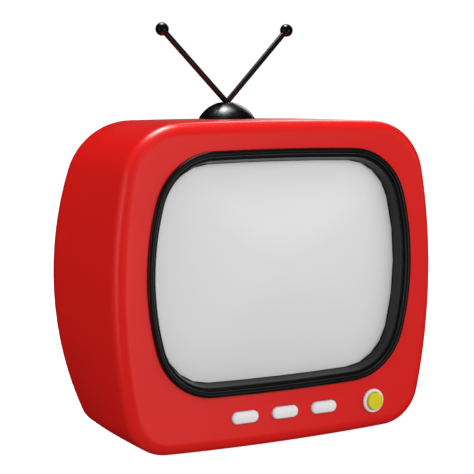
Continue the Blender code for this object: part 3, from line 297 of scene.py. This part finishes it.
def dress(tree, shader, hexes, shade, gloss=None, height=None, depth=0.0):
    # the second of two colours comes in where shade is high; gloss is the roughness, height the relief
    base = {2: shader.inputs["Base Color"]}
    addNode(tree, "Mix", {0: shade, 6: colour(hexes[0]), 7: colour(hexes[1])}, base, data_type="RGBA")
    if gloss:
        tree.links.new(gloss, shader.inputs["Roughness"])
    if height:
        relief = {"Height": height, "Distance": depth, "Strength": 1.0}
        addNode(tree, "Bump", relief, {0: shader.inputs["Normal"]})


def mouldedPlastic(name, hexes, roughness, peel, depth, patch=0.05):
    # injection-moulded plastic: faint flow clouds, a slight orange peel and uneven polish
    material, tree, shader, place = startMaterial(name, IOR=1.5)
    shade = clouds(tree, place, patch, 0.0, 1.0)
    gloss = clouds(tree, place, patch, *roughness, 1.0)
    dress(tree, shader, hexes, shade, gloss, clouds(tree, place, peel, 0.0, 1.0, 1.0), depth)
    return material


def rolledMetal(name, hexes, roughness, grain, direction, metallic=1.0):
    # sheet or drawn metal: fine lines along one direction, and patches of duller plating
    material, tree, shader, place = startMaterial(name, Metallic=metallic)
    stretched = addNode(tree, "Mapping", {"Vector": place, "Scale": direction}).outputs[0]
    lines = clouds(tree, stretched, grain, 0.0, 1.0, 6.0)
    patches = clouds(tree, place, 12 * mm, 0.0, 1.0)
    gloss = clouds(tree, stretched, grain * 3, *roughness)
    dress(tree, shader, hexes, patches, gloss, lines, 0.02 * mm)
    return material


def moltenGlass(name, hexes, roughness, depth):
    # pressed and ground glass: colour in the melt, with very shallow ripples in the surface
    material, tree, shader, place = startMaterial(name, IOR=1.52)
    shade = clouds(tree, place, 90 * mm, 0.0, 1.0)
    gloss = clouds(tree, place, 30 * mm, *roughness)
    dress(tree, shader, hexes, shade, gloss, clouds(tree, place, 20 * mm, 0.0, 1.0), depth)
    return material


def grained(name, hexes, roughness, grain, depth, stretch=(1, 1, 1)):
    # a dull pressed or cast stuff with specks of a second colour
    material, tree, shader, place = startMaterial(name)
    stretched = addNode(tree, "Mapping", {"Vector": place, "Scale": stretch}).outputs[0]
    specks = clouds(tree, stretched, grain, 0.0, 1.0, 6.0)
    dress(tree, shader, hexes, specks, clouds(tree, place, grain * 6, *roughness), specks, depth)
    return material


def woundWire(name, hexes, roughness, pitch, direction):
    # turns of wire laid side by side, in relief; the colour is a painted highlight on each turn's crown and
    # painted shade in the line between turns
    material, tree, shader, place = startMaterial(name, Metallic=0.85)
    bands = {"Vector": place, "Scale": 1 / (pitch * tau) * 2, "Distortion": 0.4}
    # one band per turn: it gives the relief, and also the painted highlight on the crown and the painted
    # shade between turns
    turnReliefAndPaintedLight = addNode(
        tree, "TexWave", bands, wave_type="BANDS", bands_direction=direction, wave_profile="SIN"
    ).outputs[1]
    dress(tree, shader, hexes, turnReliefAndPaintedLight, clouds(tree, place, 6 * mm, *roughness), turnReliefAndPaintedLight, 0.15 * mm)
    return material


print("materials")
# ABS, self-coloured red, moulded in a polished tool: deep red with broad, soft-edged highlights
cabinetRed = mouldedPlastic("gloss red ABS", ("#CB0F08", "#C80C06"), (0.27, 0.31), 1.6 * mm, 0.006 * mm)
# ABS, black, polished tool: near black, with clear narrow highlights along every round edge
bezelBlack = mouldedPlastic("gloss black ABS", ("#0A0A0B", "#0D0D0E"), (0.26, 0.32), 1.2 * mm, 0.004 * mm)
aerialBlack = mouldedPlastic(
    "polished black phenolic", ("#060506", "#090708"), (0.24, 0.28), 1.4 * mm, 0.003 * mm
)
# drawn steel rod under stoved black enamel: black, with a long thin highlight
rodEnamel = mouldedPlastic("stoved black enamel", ("#070707", "#0A0A0A"), (0.28, 0.36), 0.8 * mm, 0.006 * mm)
# ABS, white, fine-spark finish: milky, with soft shading and no hard glints
keyWhite = mouldedPlastic(
    "satin white ABS", ("#D9D6D8", "#D4D1D4"), (0.38, 0.44), 0.7 * mm, 0.006 * mm, patch=0.012
)
buttonYellow = mouldedPlastic(
    "satin yellow ABS", ("#C9C003", "#C4B903"), (0.36, 0.42), 0.7 * mm, 0.006 * mm, patch=0.010
)
# picture-tube face: grey-tinted glass over pale phosphor, etched so that lights spread to a glow
screenGlass = moltenGlass("etched grey tube glass", ("#CACACA", "#CCCCCC"), (0.31, 0.34), 0.001 * mm)
graphiteGlass = grained("graphite-coated glass", ("#17171A", "#222226"), (0.45, 0.60), 1.5 * mm, 0.02 * mm)
# polystyrene, black, spark-eroded tool: an even matt grain that scatters the light
coverBlack = grained("textured black polystyrene", ("#151516", "#1E1E20"), (0.48, 0.58), 0.8 * mm, 0.06 * mm)
socketBlack = grained("moulded black nylon", ("#121213", "#1A1A1C"), (0.38, 0.48), 0.6 * mm, 0.02 * mm)
footRubber = grained("black nitrile rubber", ("#0E0E0E", "#1A1A1A"), (0.75, 0.88), 0.7 * mm, 0.05 * mm)
leadInsulation = mouldedPlastic(
    "red silicone insulation", ("#8E1A14", "#7A140F"), (0.42, 0.5), 1.2 * mm, 0.02 * mm
)
# screws and springs: zinc plate with a faint yellow passivation, scuffed where a tool turned it
zincPlate = rolledMetal("zinc-plated steel", ("#B9B7AE", "#A29F92"), (0.28, 0.42), 0.5 * mm, (1, 1, 6))
tinnedSteel = rolledMetal("tinned sheet steel", ("#BDBDB8", "#A5A59F"), (0.30, 0.45), 0.4 * mm, (1, 8, 1))
brassPin = rolledMetal("turned brass", ("#C9A24C", "#B08A3A"), (0.22, 0.34), 0.3 * mm, (6, 1, 6))
finAluminium = rolledMetal("extruded aluminium", ("#C2C3C4", "#AFB0B2"), (0.32, 0.45), 0.4 * mm, (8, 8, 1))
# 0.5 mm steel laminations, seen on edge as thin dark lines under brown varnish
laminations = rolledMetal(
    "varnished laminations", ("#4A4540", "#2B2826"), (0.45, 0.6), 0.5 * mm, (0.2, 12, 0.2), 0.7
)
ferrite = grained("sintered ferrite", ("#1C1C1E", "#2A2A2C"), (0.55, 0.7), 0.9 * mm, 0.03 * mm)
# the dark colour is painted shade between the turns, the light one a painted highlight on each turn's crown
coilCopper = woundWire("enamelled copper wire", ("#4A170A", "#B4562B"), (0.25, 0.35), 0.9 * mm, "X")
pottedWinding = grained("resin-potted winding", ("#2A120B", "#3A1A10"), (0.3, 0.42), 1.2 * mm, 0.03 * mm)
windingTape = grained(
    "yellow polyester tape", ("#B8962A", "#C9A93A"), (0.3, 0.42), 2.5 * mm, 0.05 * mm, (0.1, 0.1, 3)
)
canSleeve = mouldedPlastic("blue shrink sleeve", ("#123A78", "#16448A"), (0.3, 0.38), 2.0 * mm, 0.02 * mm)
conePaper = grained("pressed pulp paper", ("#17140F", "#2A241C"), (0.85, 0.95), 0.9 * mm, 0.08 * mm)
boardPaper = grained(
    "phenolic paper board", ("#6B4421", "#7C5228"), (0.5, 0.62), 1.6 * mm, 0.02 * mm, (1, 6, 1)
)
ivoryPhenolic = grained("ivory phenolic", ("#D9D3BC", "#CDC6AC"), (0.4, 0.5), 1.2 * mm, 0.02 * mm)

nodeFinishes = {
    "tube_seal": footRubber, "anode_cap": footRubber, "crt_funnel": graphiteGlass, "rim_band": tinnedSteel,
    "deflection_coils": coilCopper, "yoke_core": ferrite, "centring_magnets": ferrite,
    "tube_socket": ivoryPhenolic, "neck_board": boardPaper, "main_board": boardPaper, "key_board": boardPaper,
    "tuner_box": tinnedSteel, "flyback_core": ferrite, "flyback_winding": pottedWinding,
    "mains_transformer_core": laminations, "mains_transformer_winding": windingTape,
    "heat_sink": finAluminium, "filter_capacitor": canSleeve, "anode_lead": leadInsulation,
    "speaker_frame": tinnedSteel, "speaker_cone": conePaper, "speaker_magnet": ferrite,
    "volume_control": tinnedSteel, "mains_inlet": socketBlack, "aerial_socket": socketBlack,
    "aerial_base": socketBlack, "aerial_nut": zincPlate, "pivot_pin": zincPlate,
    "tube_screw": zincPlate, "key_switch": socketBlack, "key_spring": zincPlate,
}
for name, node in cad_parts.items():
    family = name.rstrip("1234").rstrip("_") if name[-1].isdigit() else name
    if family in nodeFinishes:
        node.data.materials.clear()
        node.data.materials.append(nodeFinishes[family])


print("cabinet")
cabinet = {
    "front": Outline(0.1844, 0.1602, 0.553, 6.12, 3.41, 0.0633, 0.0454, -0.0136),
    "rear": Outline(0.1830, 0.1568, 0.338, 6.12, 3.41, 0.0708, 0.0230, -0.0103),
    "frontFillet": 0.0124,
    "rearFillet": 0.0383,
    "rearLand": 0.0095,  # flat rim round the rear opening
    "wall": 0.0032,
    "filletSteps": 12,
    "sideRings": 9,
}
bezel = {
    "outline": Outline(0.1530, 0.1198, 0.262, 2.82, 2.82, 0.0658, 0.0658, 0.0),
    "width": 0.0126,
    "depth": 0.0102,
    "flange": 0.0030,
    "beadRadius": 0.0031,
    "beadBase": 0.0010,  # how far the bead's straight foot stands out of the face
    "smallBeadRadius": 0.0011,
}


def cabinetAt(depth):
    first, last = cabinet["frontFillet"], shellDepth - cabinet["rearFillet"]
    share = min(max((depth - first) / (last - first), 0), 1)
    return Outline(*(a + (b - a) * share for a, b in zip(cabinet["front"], cabinet["rear"])))


def makeCabinet():
    bm = bmesh.new()
    front, rear, steps = cabinet["frontFillet"], cabinet["rearFillet"], cabinet["filletSteps"]
    rings = [outlineRing(bm, bezel["outline"], bezel["flange"])]
    rings.append(outlineRing(bm, cabinet["front"], front + 0.001))
    for step in range(steps + 1):
        angle = step / steps * pi / 2
        depth = front * (1 - cos(angle))
        rings.append(outlineRing(bm, cabinetAt(depth), front * (1 - sin(angle)), depth))
    for step in range(1, cabinet["sideRings"] + 1):
        depth = front + (shellDepth - rear - front) * step / (cabinet["sideRings"] + 1)
        rings.append(outlineRing(bm, cabinetAt(depth), 0, depth))
    for step in range(steps + 5):
        angle = step / (steps + 4) * pi / 2
        depth = shellDepth - rear * (1 - sin(angle))
        rings.append(outlineRing(bm, cabinetAt(depth), rear * (1 - cos(angle)), depth))
    rings.append(outlineRing(bm, cabinet["rear"], rear + cabinet["rearLand"], shellDepth))
    skinRings(bm, rings)
    shell = addPiece("cabinetShell", bm)
    wall = shell.modifiers.new("wall", "SOLIDIFY")
    wall.thickness = cabinet["wall"]
    wall.offset = -1
    settle(shell)
    return shell


def flaredSlot(name, length, height, place):
    # a cutter for a key's slot, with a small chamfer at the face
    bm = bmesh.new()
    chamfer = 0.0004
    rings = [stadiumRing(bm, length, height, inset, depth)
             for inset, depth in ((-chamfer, -0.002), (-chamfer, 0), (0, chamfer), (0, 0.008))]
    skinRings(bm, rings, front=True, back=True)
    return addPiece(name, bm, place)


def flaredHole(name, radius, place, axis, depth=0.008):
    # a cutter for a round hole, with a small chamfer where it starts
    bm = bmesh.new()
    chamfer = 0.0004
    turnProfile(bm, [(0, -0.002), (radius + chamfer, -0.002), (radius + chamfer, 0), (radius, chamfer),
                     (radius, depth), (0, depth)], 64, axis)
    return addPiece(name, bm, place)


keys = {"length": 0.0300, "height": 0.0122, "clearance": 0.00035, "edge": 0.0026, "crown": 0.0004}
volume = {"radius": 0.0122, "neck": 0.01095, "clearance": 0.00035, "buttonRadius": 0.0089}
aerialHoleRadius = 0.0050
speaker = {"slots": 7, "pitch": 0.0085, "slotWidth": 0.0036, "radius": 0.0440}


def middleOf(node):
    low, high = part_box(node)
    return (low + high) / 2


def keyPlaces():
    spots = [middleOf(f"channel_key_{number}") for number in (1, 2, 3)]
    return [Vector((spot.x, datum.y, spot.z)) for spot in spots]


def cutCabinet(shell):
    gap = keys["clearance"]
    cutters = [flaredSlot(f"slot{index}", keys["length"] + 2 * gap, keys["height"] + 2 * gap, spot)
               for index, spot in enumerate(keyPlaces())]
    ring = middleOf("volume_ring")
    ringSpot = Vector((ring.x, datum.y, ring.z))
    cutters.append(flaredHole("ringHole", volume["neck"] + volume["clearance"], ringSpot, "Y"))
    dome = middleOf("aerial_dome")
    aerialSpot = Vector((dome.x, dome.y, shellHigh.z - 0.006))
    cutters.append(flaredHole("aerialHole", aerialHoleRadius, aerialSpot, "Z", 0.012))
    cone = middleOf("speaker_cone")
    slots = []
    for number in range(speaker["slots"]):
        across = (number - (speaker["slots"] - 1) / 2) * speaker["pitch"]
        height = 2 * sqrt((0.85 * speaker["radius"]) ** 2 - across**2)
        slots.append(((0.03, speaker["slotWidth"], height), (shellHigh.x, cone.y + across, cone.z)))
    cutters.append(boxPiece("grilleSlots", slots, Vector((0, 0, 0)), bevel=0.0016))
    cutWith(shell, cutters)
    finish(shell, "cabinet", cabinetRed, "cabinet_red", "cabinet_shell")


shell = makeCabinet()
cutCabinet(shell)


print("screen")


def makeBezel():
    # a round outer bead on the cabinet's face, a groove, a second small bead and a wall sloping to the glass
    bead = bezel["beadRadius"]
    profile = [(0, -touch)]
    for step in range(17):
        angle = pi * step / 16
        profile.append((bead * (1 - cos(angle)), -bezel["beadBase"] - bead * sin(angle)))
    profile += [(0.00645, 0.0004), (0.00680, 0.0010), (0.00730, 0.0010)]
    small = bezel["smallBeadRadius"]
    for step in range(9):
        angle = radians(190 + 140 * step / 8)
        profile.append((0.0085 + small * cos(angle), 0.0014 + small * sin(angle)))
    profile += [(0.0099, 0.0036), (bezel["width"] - 0.0003, bezel["depth"] - 0.0006)]
    profile += [(bezel["width"], bezel["depth"]), (bezel["flange"] + touch, bezel["depth"])]
    profile.append((bezel["flange"] + touch, -touch))
    bm = bmesh.new()
    rings = [outlineRing(bm, bezel["outline"], inset, depth) for inset, depth in profile]
    skinRings(bm, rings, closed=True)
    finish(addPiece("bezelRing", bm, sharp=40), "cabinet", bezelBlack, "bezel_black", "bezel_ring")


tube = {"margin": 0.0060, "bulge": 0.0080, "glass": 0.0110, "rings": 20}


def makeScreen():
    # the tube's face panel: a shallow dome in front, a skirt round the edge and a hollow back
    low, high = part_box("crt_faceplate")
    front, back = low.y - datum.y, high.y - datum.y
    edge = front + tube["bulge"]
    inset = bezel["width"] - tube["margin"]
    bm = bmesh.new()
    rings = []
    for step in range(1, tube["rings"] + 1):
        share = 0.975 * step / tube["rings"]
        rings.append(outlineRing(bm, bezel["outline"], inset, edge - tube["bulge"] * (1 - share**2), share))
    rings.append(outlineRing(bm, bezel["outline"], inset, edge + 0.0020, 0.996))
    rings.append(outlineRing(bm, bezel["outline"], inset, edge + 0.0040))
    rings.append(outlineRing(bm, bezel["outline"], inset, back))
    hollow = inset + tube["glass"]
    rings.append(outlineRing(bm, bezel["outline"], hollow, back))
    rings.append(outlineRing(bm, bezel["outline"], hollow, edge + tube["glass"] + 0.004))
    for share in (0.9, 0.5, 0.2):
        depth = edge + tube["glass"] - tube["bulge"] * (1 - share**2)
        rings.append(outlineRing(bm, bezel["outline"], hollow, depth, share))
    skinRings(bm, rings, front=True, back=True)
    finish(addPiece("screenGlass", bm), "cabinet", screenGlass, "screen_glass", "crt_faceplate")


makeBezel()
makeScreen()


print("controls")


def makeKeys():
    for number, spot in enumerate(keyPlaces(), 1):
        low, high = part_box(f"channel_key_{number}")
        front = low.y - datum.y
        edge, crown = keys["edge"], keys["crown"]
        half = keys["height"] / 2
        profile = [(half - 0.0003, front)]
        for step in range(1, 6):
            share = step / 6
            profile.append((half - share * (half - edge), front + crown * share**2))
        for step in range(11):
            angle = step / 10 * pi / 2
            profile.append((edge * (1 - sin(angle)), front + crown + edge * (1 - cos(angle))))
        lip = cabinet["wall"] + touch
        profile += [(0, lip), (-0.0015, lip), (-0.0015, lip + 0.0014)]
        bm = bmesh.new()
        rings = [stadiumRing(bm, keys["length"], keys["height"], inset, depth) for inset, depth in profile]
        stem = (0.0060, 0.0040)
        rings += [stadiumRing(bm, *stem, 0, depth) for depth in (lip + 0.0014, high.y - datum.y)]
        skinRings(bm, rings, front=True, back=True)
        piece = addPiece(f"channelKey{number}", bm, spot, sharp=50)
        finish(piece, f"key_{number}", keyWhite, "control_white", f"channel_key_{number}")


def makeVolume():
    low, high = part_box("volume_ring")
    spot = Vector(((low.x + high.x) / 2, datum.y, (low.z + high.z) / 2))
    front, back = low.y - datum.y, high.y - datum.y
    bore = volume["buttonRadius"] + volume["clearance"]
    neck = volume["neck"] - 0.0002
    snap = cabinet["wall"] + touch
    bm = bmesh.new()
    turnProfile(bm, [
        (bore, front, 0.0005), (volume["radius"], front, 0.0014), (volume["radius"], -touch, 0.0002),
        (neck, -touch), (neck, snap), (volume["neck"] + 0.0006, snap + 0.0004),
        (neck, snap + 0.0022), (neck, back), (bore, back),
    ], 96, "Y")
    finish(addPiece("volumeRing", bm, spot), "volume_ring", keyWhite, "control_white", "volume_ring")
    low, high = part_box("power_button")
    front, back = low.y - datum.y, high.y - datum.y
    bm = bmesh.new()
    turnProfile(bm, [
        (0, front), (volume["buttonRadius"], front, 0.0007), (volume["buttonRadius"], 0.0040),
        (0.0028, 0.0040), (0.0028, back), (0, back),
    ], 96, "Y")
    finish(addPiece("powerButton", bm, spot), "power_button", buttonYellow, "button_yellow", "power_button")


makeKeys()
makeVolume()


print("aerial")
aerial = {
    "domeRadius": 0.0334,
    "domeWall": 0.0045,
    "slotHalf": 0.0135,
    "rodRadius": 0.00295,
    "rodLength": 0.1080,
    "tipRadius": 0.0068,
    "lean": {"left": radians(-45.6), "right": radians(44.2)},
    "pivotDrop": 0.0027,
}


def makeDome():
    low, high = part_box("aerial_dome")
    centre = Vector(((low.x + high.x) / 2, (low.y + high.y) / 2, high.z - aerial["domeRadius"]))
    base = low.z - centre.z
    outer, inner = aerial["domeRadius"], aerial["domeRadius"] - aerial["domeWall"]
    bm = bmesh.new()
    profile = []
    sweeps = ((inner, pi / 2, asin(base / inner), 24), (outer, asin(base / outer), pi / 2, 48))
    for radius, start, end, steps in sweeps:
        for step in range(steps + 1):
            angle = start + (end - start) * step / steps
            profile.append((max(radius * cos(angle), 0), radius * sin(angle)))
    profile[0], profile[-1] = (0, inner), (0, outer)
    turnProfile(bm, profile, 96)
    dome = addPiece("aerialDome", bm, centre)
    pivot = Vector((centre.x, centre.y, high.z - aerial["pivotDrop"]))
    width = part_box("pivot_pin")[1].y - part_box("pivot_pin")[0].y - 0.0042
    slot = boxPiece("rodSlot", [((2 * aerial["slotHalf"], width, 0.016), (0, 0, 0.001))], pivot, 0.0012)
    cutWith(dome, [slot])
    finish(dome, "aerial_dome", aerialBlack, "aerial_black", "aerial_dome")


def makeRods():
    for side, lean in aerial["lean"].items():
        low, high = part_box(f"{side}_rod")
        pinY = (low.y + high.y) / 2
        pivot = Vector((0, pinY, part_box("aerial_dome")[1].z - aerial["pivotDrop"]))
        swing = Matrix.Translation(pivot) @ Matrix.Rotation(lean, 4, "Y")
        radius, length, tip = aerial["rodRadius"], aerial["rodLength"], aerial["tipRadius"]
        bm = bmesh.new()
        turnProfile(bm, [(0, -radius), (radius, -radius, radius * 0.95), (radius, length - tip + 0.0006),
                         (0, length - tip + 0.0006)], 48)
        bmesh.ops.transform(bm, matrix=swing, verts=bm.verts)
        finish(addPiece(f"{side}Rod", bm, Vector()), f"{side}_rod", rodEnamel, "rod_black", f"{side}_rod")
        bm = bmesh.new()
        socket = radius + touch
        deep = sqrt(tip**2 - socket**2)
        profile = [(0, -tip + 0.0009), (socket, -tip + 0.0009)]
        for step in range(33):
            angle = -asin(deep / tip) + (pi / 2 + asin(deep / tip)) * step / 32
            profile.append((max(tip * cos(angle), 0), tip * sin(angle)))
        profile[-1] = (0, tip)
        turnProfile(bm, profile, 64)
        bmesh.ops.transform(bm, matrix=swing @ Matrix.Translation((0, 0, length)), verts=bm.verts)
        ball = addPiece(f"{side}RodTip", bm, Vector())
        finish(ball, f"{side}_rod", aerialBlack, "aerial_black", f"{side}_rod_tip")


makeDome()
makeRods()


print("feet and rear cover")


foot = {"recess": 0.0018, "recessRadius": 0.0035, "recessMouth": 0.0042, "taper": 0.0006}


def makeFeet():
    for name in ("front_left_foot", "front_right_foot", "rear_left_foot", "rear_right_foot"):
        low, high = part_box(name)
        radius, height = (high.x - low.x) / 2, high.z - low.z
        bm = bmesh.new()
        turnProfile(bm, [
            (0, foot["recess"]), (foot["recessRadius"], foot["recess"], 0.0003),
            (foot["recessMouth"], 0, 0.0004), (radius - foot["taper"], 0, 0.0009),
            (radius, height, 0.0004), (0, height),
        ], 64)
        words = name.split("_")
        spot = middleOf(name)
        piece = addPiece(words[0] + words[1].title() + "Foot", bm, Vector((spot.x, spot.y, low.z)))
        finish(piece, "cabinet", footRubber, "foot_rubber", name)


rearCover = {
    "base": Outline(0.0980, 0.0800, 0.60, 1.5, 1.5, 0.034, 0.034, 0.0),
    "end": Outline(0.0760, 0.0560, 0.50, 1.2, 1.2, 0.026, 0.026, 0.0),
    "wall": 0.0028,
    "coveDepth": 0.0080,
    "endFillet": 0.0067,
    "columns": 9,
    "rows": 7,
    "ventPitch": 0.0110,
    "socketRims": 0.0044,  # both sides of a socket's flange, which stay behind the plate
}


def between(first, second, share):
    return Outline(*(a + (b - a) * share for a, b in zip(first, second)))


def makeRearCover():
    near, far = coverLow.y - datum.y, coverHigh.y - datum.y
    wall, start = rearCover["wall"], near + rearCover["wall"]
    base, end = rearCover["base"], rearCover["end"]
    plate = cabinet["rearFillet"] + 0.0006
    slope = between(base, end, 0.75)
    bm = bmesh.new()
    rings = [
        outlineRing(bm, cabinet["rear"], plate, near),
        outlineRing(bm, cabinet["rear"], plate, near + 0.0014),
        outlineRing(bm, cabinet["rear"], plate + 0.0002, near + 0.0022),
        outlineRing(bm, cabinet["rear"], plate + 0.0006, near + 0.0026),
        outlineRing(bm, cabinet["rear"], plate + 0.0012, start),
    ]
    for step in range(7):  # the cove where the hump leaves the plate
        angle = step / 6 * radians(75)
        rise = rearCover["coveDepth"] * (1 - cos(angle)) / (1 - cos(radians(75)))
        rings.append(outlineRing(bm, base, 0.0040 * sin(angle), start + rise))
    rings.append(outlineRing(bm, between(base, end, 0.4), 0.0022, start + (far - 0.030 - start) * 0.5))
    rings.append(outlineRing(bm, slope, 0, far - 0.0300))
    rings.append(outlineRing(bm, between(slope, end, 0.7), 0.0004, far - 0.0140))
    for step in range(9):
        angle = step / 8 * pi / 2
        inset = 0.0008 + rearCover["endFillet"] * (1 - cos(angle))
        rings.append(outlineRing(bm, end, inset, far - rearCover["endFillet"] * (1 - sin(angle))))
    skinRings(bm, rings, front=False, back=True)
    inner = [
        outlineRing(bm, base, wall, near),
        outlineRing(bm, base, 0.0040 + wall, start + rearCover["coveDepth"]),
        outlineRing(bm, slope, wall, far - 0.0300),
        outlineRing(bm, end, 0.0035 + wall, far - 0.0070),
        outlineRing(bm, end, 0.0095, far - wall),
    ]
    skinRings(bm, [rings[0]] + inner, back=True)
    cover = addPiece("rearCover", bm)
    slots = []
    for number in range(rearCover["columns"]):
        across = (number - (rearCover["columns"] - 1) / 2) * rearCover["ventPitch"]
        slots.append(((0.0040, 0.02, 0.0560), (across, far, 0)))
    for number in range(rearCover["rows"]):
        up = 0.0205 + (number - (rearCover["rows"] - 1) / 2) * rearCover["ventPitch"]
        slots += [((0.0160, 0.02, 0.0040), (side * 0.1160, near, up)) for side in (-1, 1)]
    cutters = [boxPiece("vents", slots, datum, 0.0012)]
    for number in (1, 2, 3, 4):
        screw = middleOf(f"cover_screw_{number}")
        spot = Vector((screw.x, coverLow.y - 0.005, screw.z))
        cutters.append(flaredHole(f"coverHole{number}", 0.0020, spot, "Y", 0.02))
    for node in ("mains_inlet", "aerial_socket"):
        low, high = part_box(node)
        spot = (low + high) / 2
        rim = 2 * touch - rearCover["socketRims"]
        size = (high.x - low.x + rim, 0.03, high.z - low.z + rim)
        cutters.append(boxPiece(f"{node}Hole", [(size, (spot.x, coverLow.y, spot.z))], Vector()))
    cutWith(cover, cutters)
    finish(cover, "cabinet", coverBlack, "rear_black", "rear_cover")


def makeCoverScrews():
    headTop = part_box("cover_screw_1")[1].y
    for number in (1, 2, 3, 4):
        spot = middleOf(f"cover_screw_{number}")
        bm = bmesh.new()
        turnProfile(bm, [
            (0, -0.009), (0.0010, -0.009), (0.0016, -0.0074), (0.0016, 0), (0.0033, 0, 0.0002),
            (0.0033, 0.0009, 0.0005), (0.0021, 0.0020, 0.0009), (0, 0.0020),
        ], 40, "Y")
        screw = addPiece(f"coverScrew{number}", bm, Vector((spot.x, headTop - 0.0020, spot.z)))
        cross = [((0.0034, 0.0022, 0.0007), (0, 0, 0)), ((0.0007, 0.0022, 0.0034), (0, 0, 0))]
        top = Vector((spot.x, headTop, spot.z))
        cutters = [boxPiece(f"cross{index}", [arm], top) for index, arm in enumerate(cross)]
        cutWith(screw, cutters)
        finish(screw, "cabinet", zincPlate, "screw_zinc", f"cover_screw_{number}")


def makeSocketMetal():
    # the two pins of the mains inlet, and the sleeve of the aerial socket
    low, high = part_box("mains_inlet")
    for side in (-1, 1):
        bm = bmesh.new()
        turnProfile(bm, [(0, 0), (0.0012, 0), (0.0012, 0.0115, 0.0009), (0, 0.0115)], 32, "Y")
        spot = Vector(((low.x + high.x) / 2 + side * 0.0038, low.y + 0.0044, (low.z + high.z) / 2))
        piece = addPiece("inletPin" + ("Left" if side < 0 else "Right"), bm, spot)
        finish(piece, "cabinet", brassPin, "screw_zinc")
    low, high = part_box("aerial_socket")
    bm = bmesh.new()
    turnProfile(bm, [(0.0039, 0), (0.0046, 0), (0.0046, 0.0128, 0.0002), (0.0039, 0.0128, 0.0002)], 48, "Y")
    spot = Vector(((low.x + high.x) / 2, low.y + 0.0046, (low.z + high.z) / 2))
    finish(addPiece("aerialSleeve", bm, spot), "cabinet", tinnedSteel, "band_steel")
    bm = bmesh.new()
    turnProfile(bm, [(0.0006, 0), (0.0012, 0), (0.0012, 0.0098, 0.0002), (0.0006, 0.0098, 0.0002)], 32, "Y")
    finish(addPiece("aerialContact", bm, spot), "cabinet", brassPin, "screw_zinc")


makeFeet()
makeRearCover()
makeCoverScrews()
makeSocketMetal()


print("studio")
studio = {
    "camera": Vector((-0.7795, -1.3334, 0.3538)),
    "turn": (radians(84.27), 0, radians(-30.93)),
    "lens": 111.84,
    "daylight": 0.55,
    # each light: place, size, power, what it reaches.
    # A fill has no mirror image; a panel is only a mirror image.
    "lights": {
        "overhead": ((-0.05, 0.20, 1.70), (0.9, 0.9), 14.6, "both"),
        "ceiling": ((0, 0, 2.2), (2.0, 2.0), 18.4, "fill"),
        "frontFill": ((-0.3, -2.2, 0.9), (1.6, 1.6), 25.3, "fill"),
        "leftFill": ((-2.2, 0.2, 0.6), (1.6, 1.6), 13.8, "fill"),
        "rightFill": ((1.9, -1.2, 0.6), (1.2, 1.2), 12.8, "fill"),
        "frontPanel": ((0.60, -2.42, 0.0), (1.4, 1.4), 5.6, "panel"),
        "leftPanel": ((-2.45, -0.42, 0.25), (0.30, 1.6), 3.4, "panel"),
        "topPanel": ((-0.06, 0.22, 1.60), (0.42, 0.42), 11.0, "panel"),
        "rearPanel": ((1.5, 1.5, 1.3), (1.0, 1.0), 8.0, "panel"),
        "screenPanel": ((1.36, -2.10, 0.30), (0.85, 0.26), 5.0, "screen"),
    },
}


def makeLight(name, place, size, power, reach):
    light = bpy.data.lights.new(name, "AREA")
    light.shape = "RECTANGLE"
    light.size, light.size_y = size
    light.energy = power
    lamp = bpy.data.objects.new(name, light)
    lamp.location = place
    lamp.rotation_euler = (Vector((0, 0, 0.2)) - lamp.location).to_track_quat("-Z", "Y").to_euler()
    lamp.visible_glossy = reach != "fill"
    lamp.visible_diffuse = reach in ("fill", "both")
    bpy.context.scene.collection.objects.link(lamp)
    if reach == "screen":
        lit = bpy.data.collections.new("litByScreenPanel")
        lit.objects.link(bpy.data.objects["screenGlass"])
        lamp.light_linking.receiver_collection = lit


def makeFloor():
    bm = bmesh.new()
    bmesh.ops.create_grid(bm, x_segments=1, y_segments=1, size=30)
    floor = addPiece("floor", bm, Vector())
    material, tree, shader, place = startMaterial("pale painted floor", Roughness=0.9)
    dress(tree, shader, ("#C2C2C2", "#C6C6C6"), clouds(tree, place, 0.4, 0.0, 1.0))
    shader.inputs["Emission Color"].default_value = (1, 1, 1, 1)
    shader.inputs["Emission Strength"].default_value = 0.93
    floor.data.materials.append(material)
    floor.visible_glossy = False
    floor.visible_diffuse = False
    floor.visible_shadow = False


def makeStudio():
    for name, values in studio["lights"].items():
        makeLight(name, *values)
    world = bpy.data.worlds.new("studio")
    world.use_nodes = True
    world.cycles_visibility.glossy = False
    tree = world.node_tree
    seen = addNode(tree, "LightPath").outputs["Is Camera Ray"]
    strength = addNode(tree, "MapRange", {"Value": seen, 3: studio["daylight"], 4: 1.0}).outputs[0]
    tree.links.new(strength, tree.nodes["Background"].inputs["Strength"])
    tree.nodes["Background"].inputs["Color"].default_value = (1, 1, 1, 1)
    bpy.context.scene.world = world
    bpy.context.scene.view_settings.view_transform = "Standard"
    camera = bpy.data.objects.new("camera", bpy.data.cameras.new("camera"))
    camera.data.lens = studio["lens"]
    camera.data.sensor_width = 36
    camera.data.clip_start = 0.05
    camera.data.clip_end = 100
    camera.location = studio["camera"]
    camera.rotation_euler = studio["turn"]
    bpy.context.scene.collection.objects.link(camera)
    bpy.context.scene.camera = camera


makeFloor()
makeStudio()
